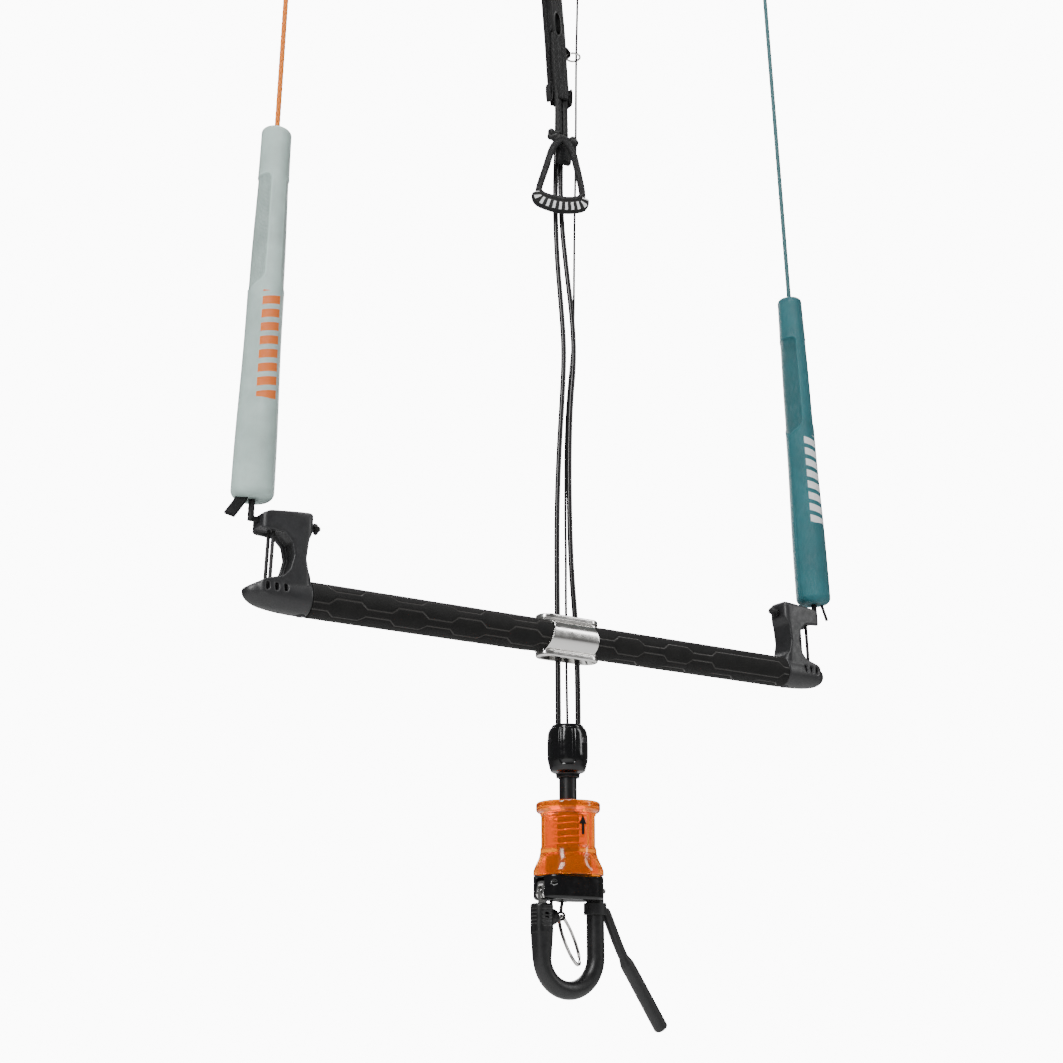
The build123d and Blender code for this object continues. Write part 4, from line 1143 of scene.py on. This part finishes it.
def release(looks):
    """The orange sleeve, the spring inside it, and the CAD's own parts with rounder edges."""
    profile = [(22.8, -176.5, 0), (25.75, -176.5, 0.5), (25.75, -173, 1.5), (24.6, -170, 3.0),
               (21.2, -163, 4.0), (20.5, -158, 3.0), (20.6, -131.8, 0.7), (22.6, -131, 0.5),
               (23.75, -129.6, 1.0), (23.75, -124.8, 1.0), (22.6, -123.5, 0.8), (7.1, -123.5, 0),
               (7.1, -127.5, 0), (17.7, -127.5, 1.0), (17.7, -158, 0.3), (8.5, -158, 0),
               (8.5, -161, 0), (17.7, -161, 0.3), (19.0, -164, 1.0), (22.4, -171, 1.0),
               (22.8, -176.5, 0)]
    mesh = lathe(profile, 330, shape=sleeve_shape, split=0.4, caps=False)
    places = np.zeros(len(mesh.vertices) * 3, np.float32)
    mesh.vertices.foreach_get("co", places)
    x, y, z = places.reshape(-1, 3).T / MM
    printed = arrow_mask(np.degrees(np.arctan2(y, x)), z) * (np.hypot(x, y) > 19.3)
    point_values(mesh, "print", printed)
    link_piece("orange_sleeve", mesh, "sleeve", looks["orange"],
               ["release_sleeve"])

    coil = link_piece("release_coil", NODES["release_spring"].data.copy(), None,
                      looks["chrome"], ["release_spring"])
    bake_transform(coil)

    softened = {
        "release_base": (0.45, 5, "release", "base_plastic", "gloss"),
        "latch_hook": (0.22, 4, "latch", "steel", "chrome"),
        "latch_pin": (0.16, 3, "release", "steel", "chrome"),
        "loop_pin": (0.16, 3, "release", "steel", "chrome"),
        "loop_tongue": (0.22, 4, "loop", "steel", "chrome"),
        "loop_end_cap": (0.32, 3, "loop", "base_plastic", "satin"),
        "finger_collar": (0.28, 3, "finger", "finger_plastic", "matte"),
        "hole_insert": (0.34, 4, "bar", "insert_steel", "steel"),
        "line_guide": (0.22, 3, "line_guide", "guide_plastic", "satin"),
    }
    for node, (voxel, passes, body, slot, look) in softened.items():
        link_piece(f"{node}_piece", soften(node, voxel, passes), body, looks[look], [node])


def chicken_loop(looks):
    """The rubber loop and the finger that locks it on the hook."""
    leg, low, high = 23.5, -233.0, -187.0
    route = [(-leg, 0, z) for z in np.linspace(-203, low, 12)]
    route += [(-leg * cos(t), 0, low - leg * sin(t)) for t in np.linspace(0, pi, 48)[1:-1]]
    route += [(leg, 0, z) for z in np.linspace(low, high, 16)]
    total = float(np.sum(np.linalg.norm(np.diff(np.array(route), axis=0), axis=1)))
    start, end = 12 / total, 34 / total
    tube = section(route, (0, 1, 0), [(0, 6.45), (start, 6.85), (end, 6.5), (1, 6.5)],
                   [(0, 6.45), (start, 7.3), (end, 6.5), (1, 6.5)],
                   [(0, 2.0), (start, 3.6), (end, 2.1), (1, 2.0)], 64, 0.6, end_round=6.4)
    link_piece("rubber_loop", tube, "loop", looks["rubber"], ["loop_tube"])

    neck = cubic([(31.3, 0, -199.0), (33.6, 0, -202.4), (36.6, 0, -208.6), (47.5, 0, -231.0),
                  (60.5, 0, -250.6), (83.0, 0, -284.0)])
    blade = section(neck, (0, 1, 0), [(0, 3.5), (0.38, 3.45), (0.44, 4.95), (1, 5.1)],
                    [(0, 3.5), (0.38, 3.45), (0.44, 5.05), (1, 5.2)], 2.25, 48, 0.45, end_round=2.6)
    link_piece("finger_bar", blade, "finger", looks["matte"], ["locking_finger"])


# ------------------------------------------------------------ the leash ring
LUG, BASE_BOTTOM = (7.5, 19.6), -194.0
BALL, BALL_RADIUS = (-5.6, 14.2, -205.0), 6.0
RING_PIVOT, RING_RADIUS = (11.2, 26.4, -203.5), 18.5
RING_TILT, RING_TURN = 20.0, 47.5
RING_COIL = 0.6                      # how far each of its turns lies from its middle
RING_START, RING_SWEEP = 60, 704     # degrees round the ring, nearly two turns
RING_STEP = (395, 430)               # where the wire passes from one turn to the other


def leash_ring(looks, rope):
    """The split ring, the cords it and the stopper ball hang on, and the ball."""
    wire = Vector((sin(radians(RING_TURN)), cos(radians(RING_TURN)), 0))
    aside = Vector((cos(radians(RING_TURN)), -sin(radians(RING_TURN)), 0))
    hang = aside * sin(radians(RING_TILT)) - Vector((0, 0, 1)) * cos(radians(RING_TILT))
    axis = wire.cross(hang)
    centre = Vector(RING_PIVOT) + hang * RING_RADIUS
    route = []
    step_start, step_end = (radians(turn) for turn in RING_STEP)
    for t in np.radians(np.linspace(RING_START, RING_START + RING_SWEEP, 360)):
        offset = RING_COIL * (2 * smoothstep(step_start, step_end, t) - 1)
        route.append(tuple(centre + (wire * cos(t) + hang * sin(t)) * RING_RADIUS + axis * offset))
    link_piece("split_ring", section(route, tuple(axis), 0.58, 1.15, 2.6, 18, 0.5,
                                     end_round=0.5),
               "ring", looks["chrome"], ["leash_ring"])

    pivot = Vector(RING_PIVOT)
    cord = cubic([(*LUG, BASE_BOTTOM + 4), (*LUG, BASE_BOTTOM - 1), (9.0, 22.6, -197.4),
                  tuple(pivot + Vector((0, 0, 2.7)))]) * MM
    eye = [tuple((pivot + aside * 2.7 * sin(t) + Vector((0, 0, 2.7 * cos(t)))) * MM)
           for t in np.linspace(0, 2 * pi, 40)]
    ball_top = [(BALL[0], BALL[1], z) for z in (BASE_BOTTOM, -197, BALL[2] + 4)]
    pieces = [braid(cord, 1.3 * MM, 3, 0.0030, 16, 0.0005),
              braid(eye, 1.0 * MM, 3, 0.0026, 14, 0.0004),
              braid(np.array(ball_top) * MM, 1.3 * MM, 3, 0.0030, 16, 0.0005)]
    link_piece("leash_cords", join(pieces), "release", rope, ["ring_cord"])

    def seam(angle, height, radius):
        return radius - 0.22 * np.exp(-((height - BALL[2]) / 0.35) ** 2)

    arc = np.linspace(-pi / 2, pi / 2, 40)
    profile = [(max(0.05, BALL_RADIUS * cos(t)), BALL[2] + BALL_RADIUS * sin(t), 0) for t in arc]
    ball = lathe(profile, 64, BALL[:2], seam, 0.4)
    link_piece("rubber_ball", ball, "release", looks["matte"], ["stopper_ball"])


# ------------------------------------------------------------ carried-over CAD pieces
def carried(looks):
    """Materials for the CAD nodes that are shown as they are."""
    kept = {
        "bar_tube": "aluminium", "end_screws": "dark_steel", "swivel_screws": "dark_steel",
        "swivel_bearing": "chrome", "line_end_stops": "aluminium", "swivel_shaft": "satin",
        "release_core": "satin", "guide_ring": "chrome",
    }
    for node, look in kept.items():
        piece = NODES[node]
        piece.data.materials.clear()
        piece.data.materials.append(looks[look])


# ------------------------------------------------------------ the whole scene
def main():
    camera()
    black_rope = rope_material("rope_black", (0.008, 0.008, 0.008), 0.6, 0.02)
    ropes = {"left": rope_material("rope_orange", ORANGE_ROPE),
             "right": rope_material("rope_teal", TEAL_ROPE, 0.72, 0.04)}
    coated = moulded("depower_tube", (0.008, 0.008, 0.0085), 0.28, 1500, 0.00002)
    leaders(ropes, black_rope)
    depower_line("left", DEPOWER_LEFT, coated)
    depower_line("right", DEPOWER_RIGHT, coated)
    safety_cord(rope_material("safety_cord", (0.010, 0.010, 0.010), 0.7, 0.03))
    trim_ropes(black_rope)

    webbing = webbing_material("webbing_black", BLACK)
    thread = moulded("eye_thread", (0.02, 0.02, 0.02), 0.45)
    looks = {
        "gloss": moulded("gloss_black", (0.004, 0.004, 0.0045), 0.16, 1500, 0.00001),
        "satin": moulded("satin_black", (0.006, 0.006, 0.0065), 0.36),
        "matte": moulded("matte_black", (0.009, 0.009, 0.0095), 0.50),
        "rubber": moulded("loop_rubber", (0.008, 0.008, 0.0085), 0.40, 1800, 0.00005),
        "chrome": metal("chrome", (0.80, 0.79, 0.77), 0.14),
        "steel": metal("insert_steel", STEEL, 0.17),
        "dark_steel": metal("dark_steel", (0.10, 0.10, 0.11), 0.35),
        "aluminium": metal("aluminium", (0.62, 0.62, 0.63), 0.32),
        "orange": orange_material(),
    }
    foam = grip_material()
    for side_name in SIDES:
        grip(side_name, foam)
    bar_ends(moulded("bar_end_plastic", DARK_GREY, 0.42, 1600, 0.00007),
             rope_material("bungee", (0.012, 0.012, 0.012), 0.5, 0.05), black_rope)
    for side_name, slot, colour, print_colour, slant in (
            ("left", "float_foam_mint", MINT, PRINT_ORANGE, -0.06),
            ("right", "float_foam_teal", TEAL, WHITE, 0.06)):
        line_float(side_name, float_material(slot, colour, print_colour, slant))
    float_feet(webbing, black_rope)
    strap(webbing, black_rope, thread)
    trim_handle(webbing, black_rope, striped_material())
    swivel(looks["gloss"])
    release(looks)
    chicken_loop(looks)
    leash_ring(looks, black_rope)
    carried(looks)
    studio()


main()
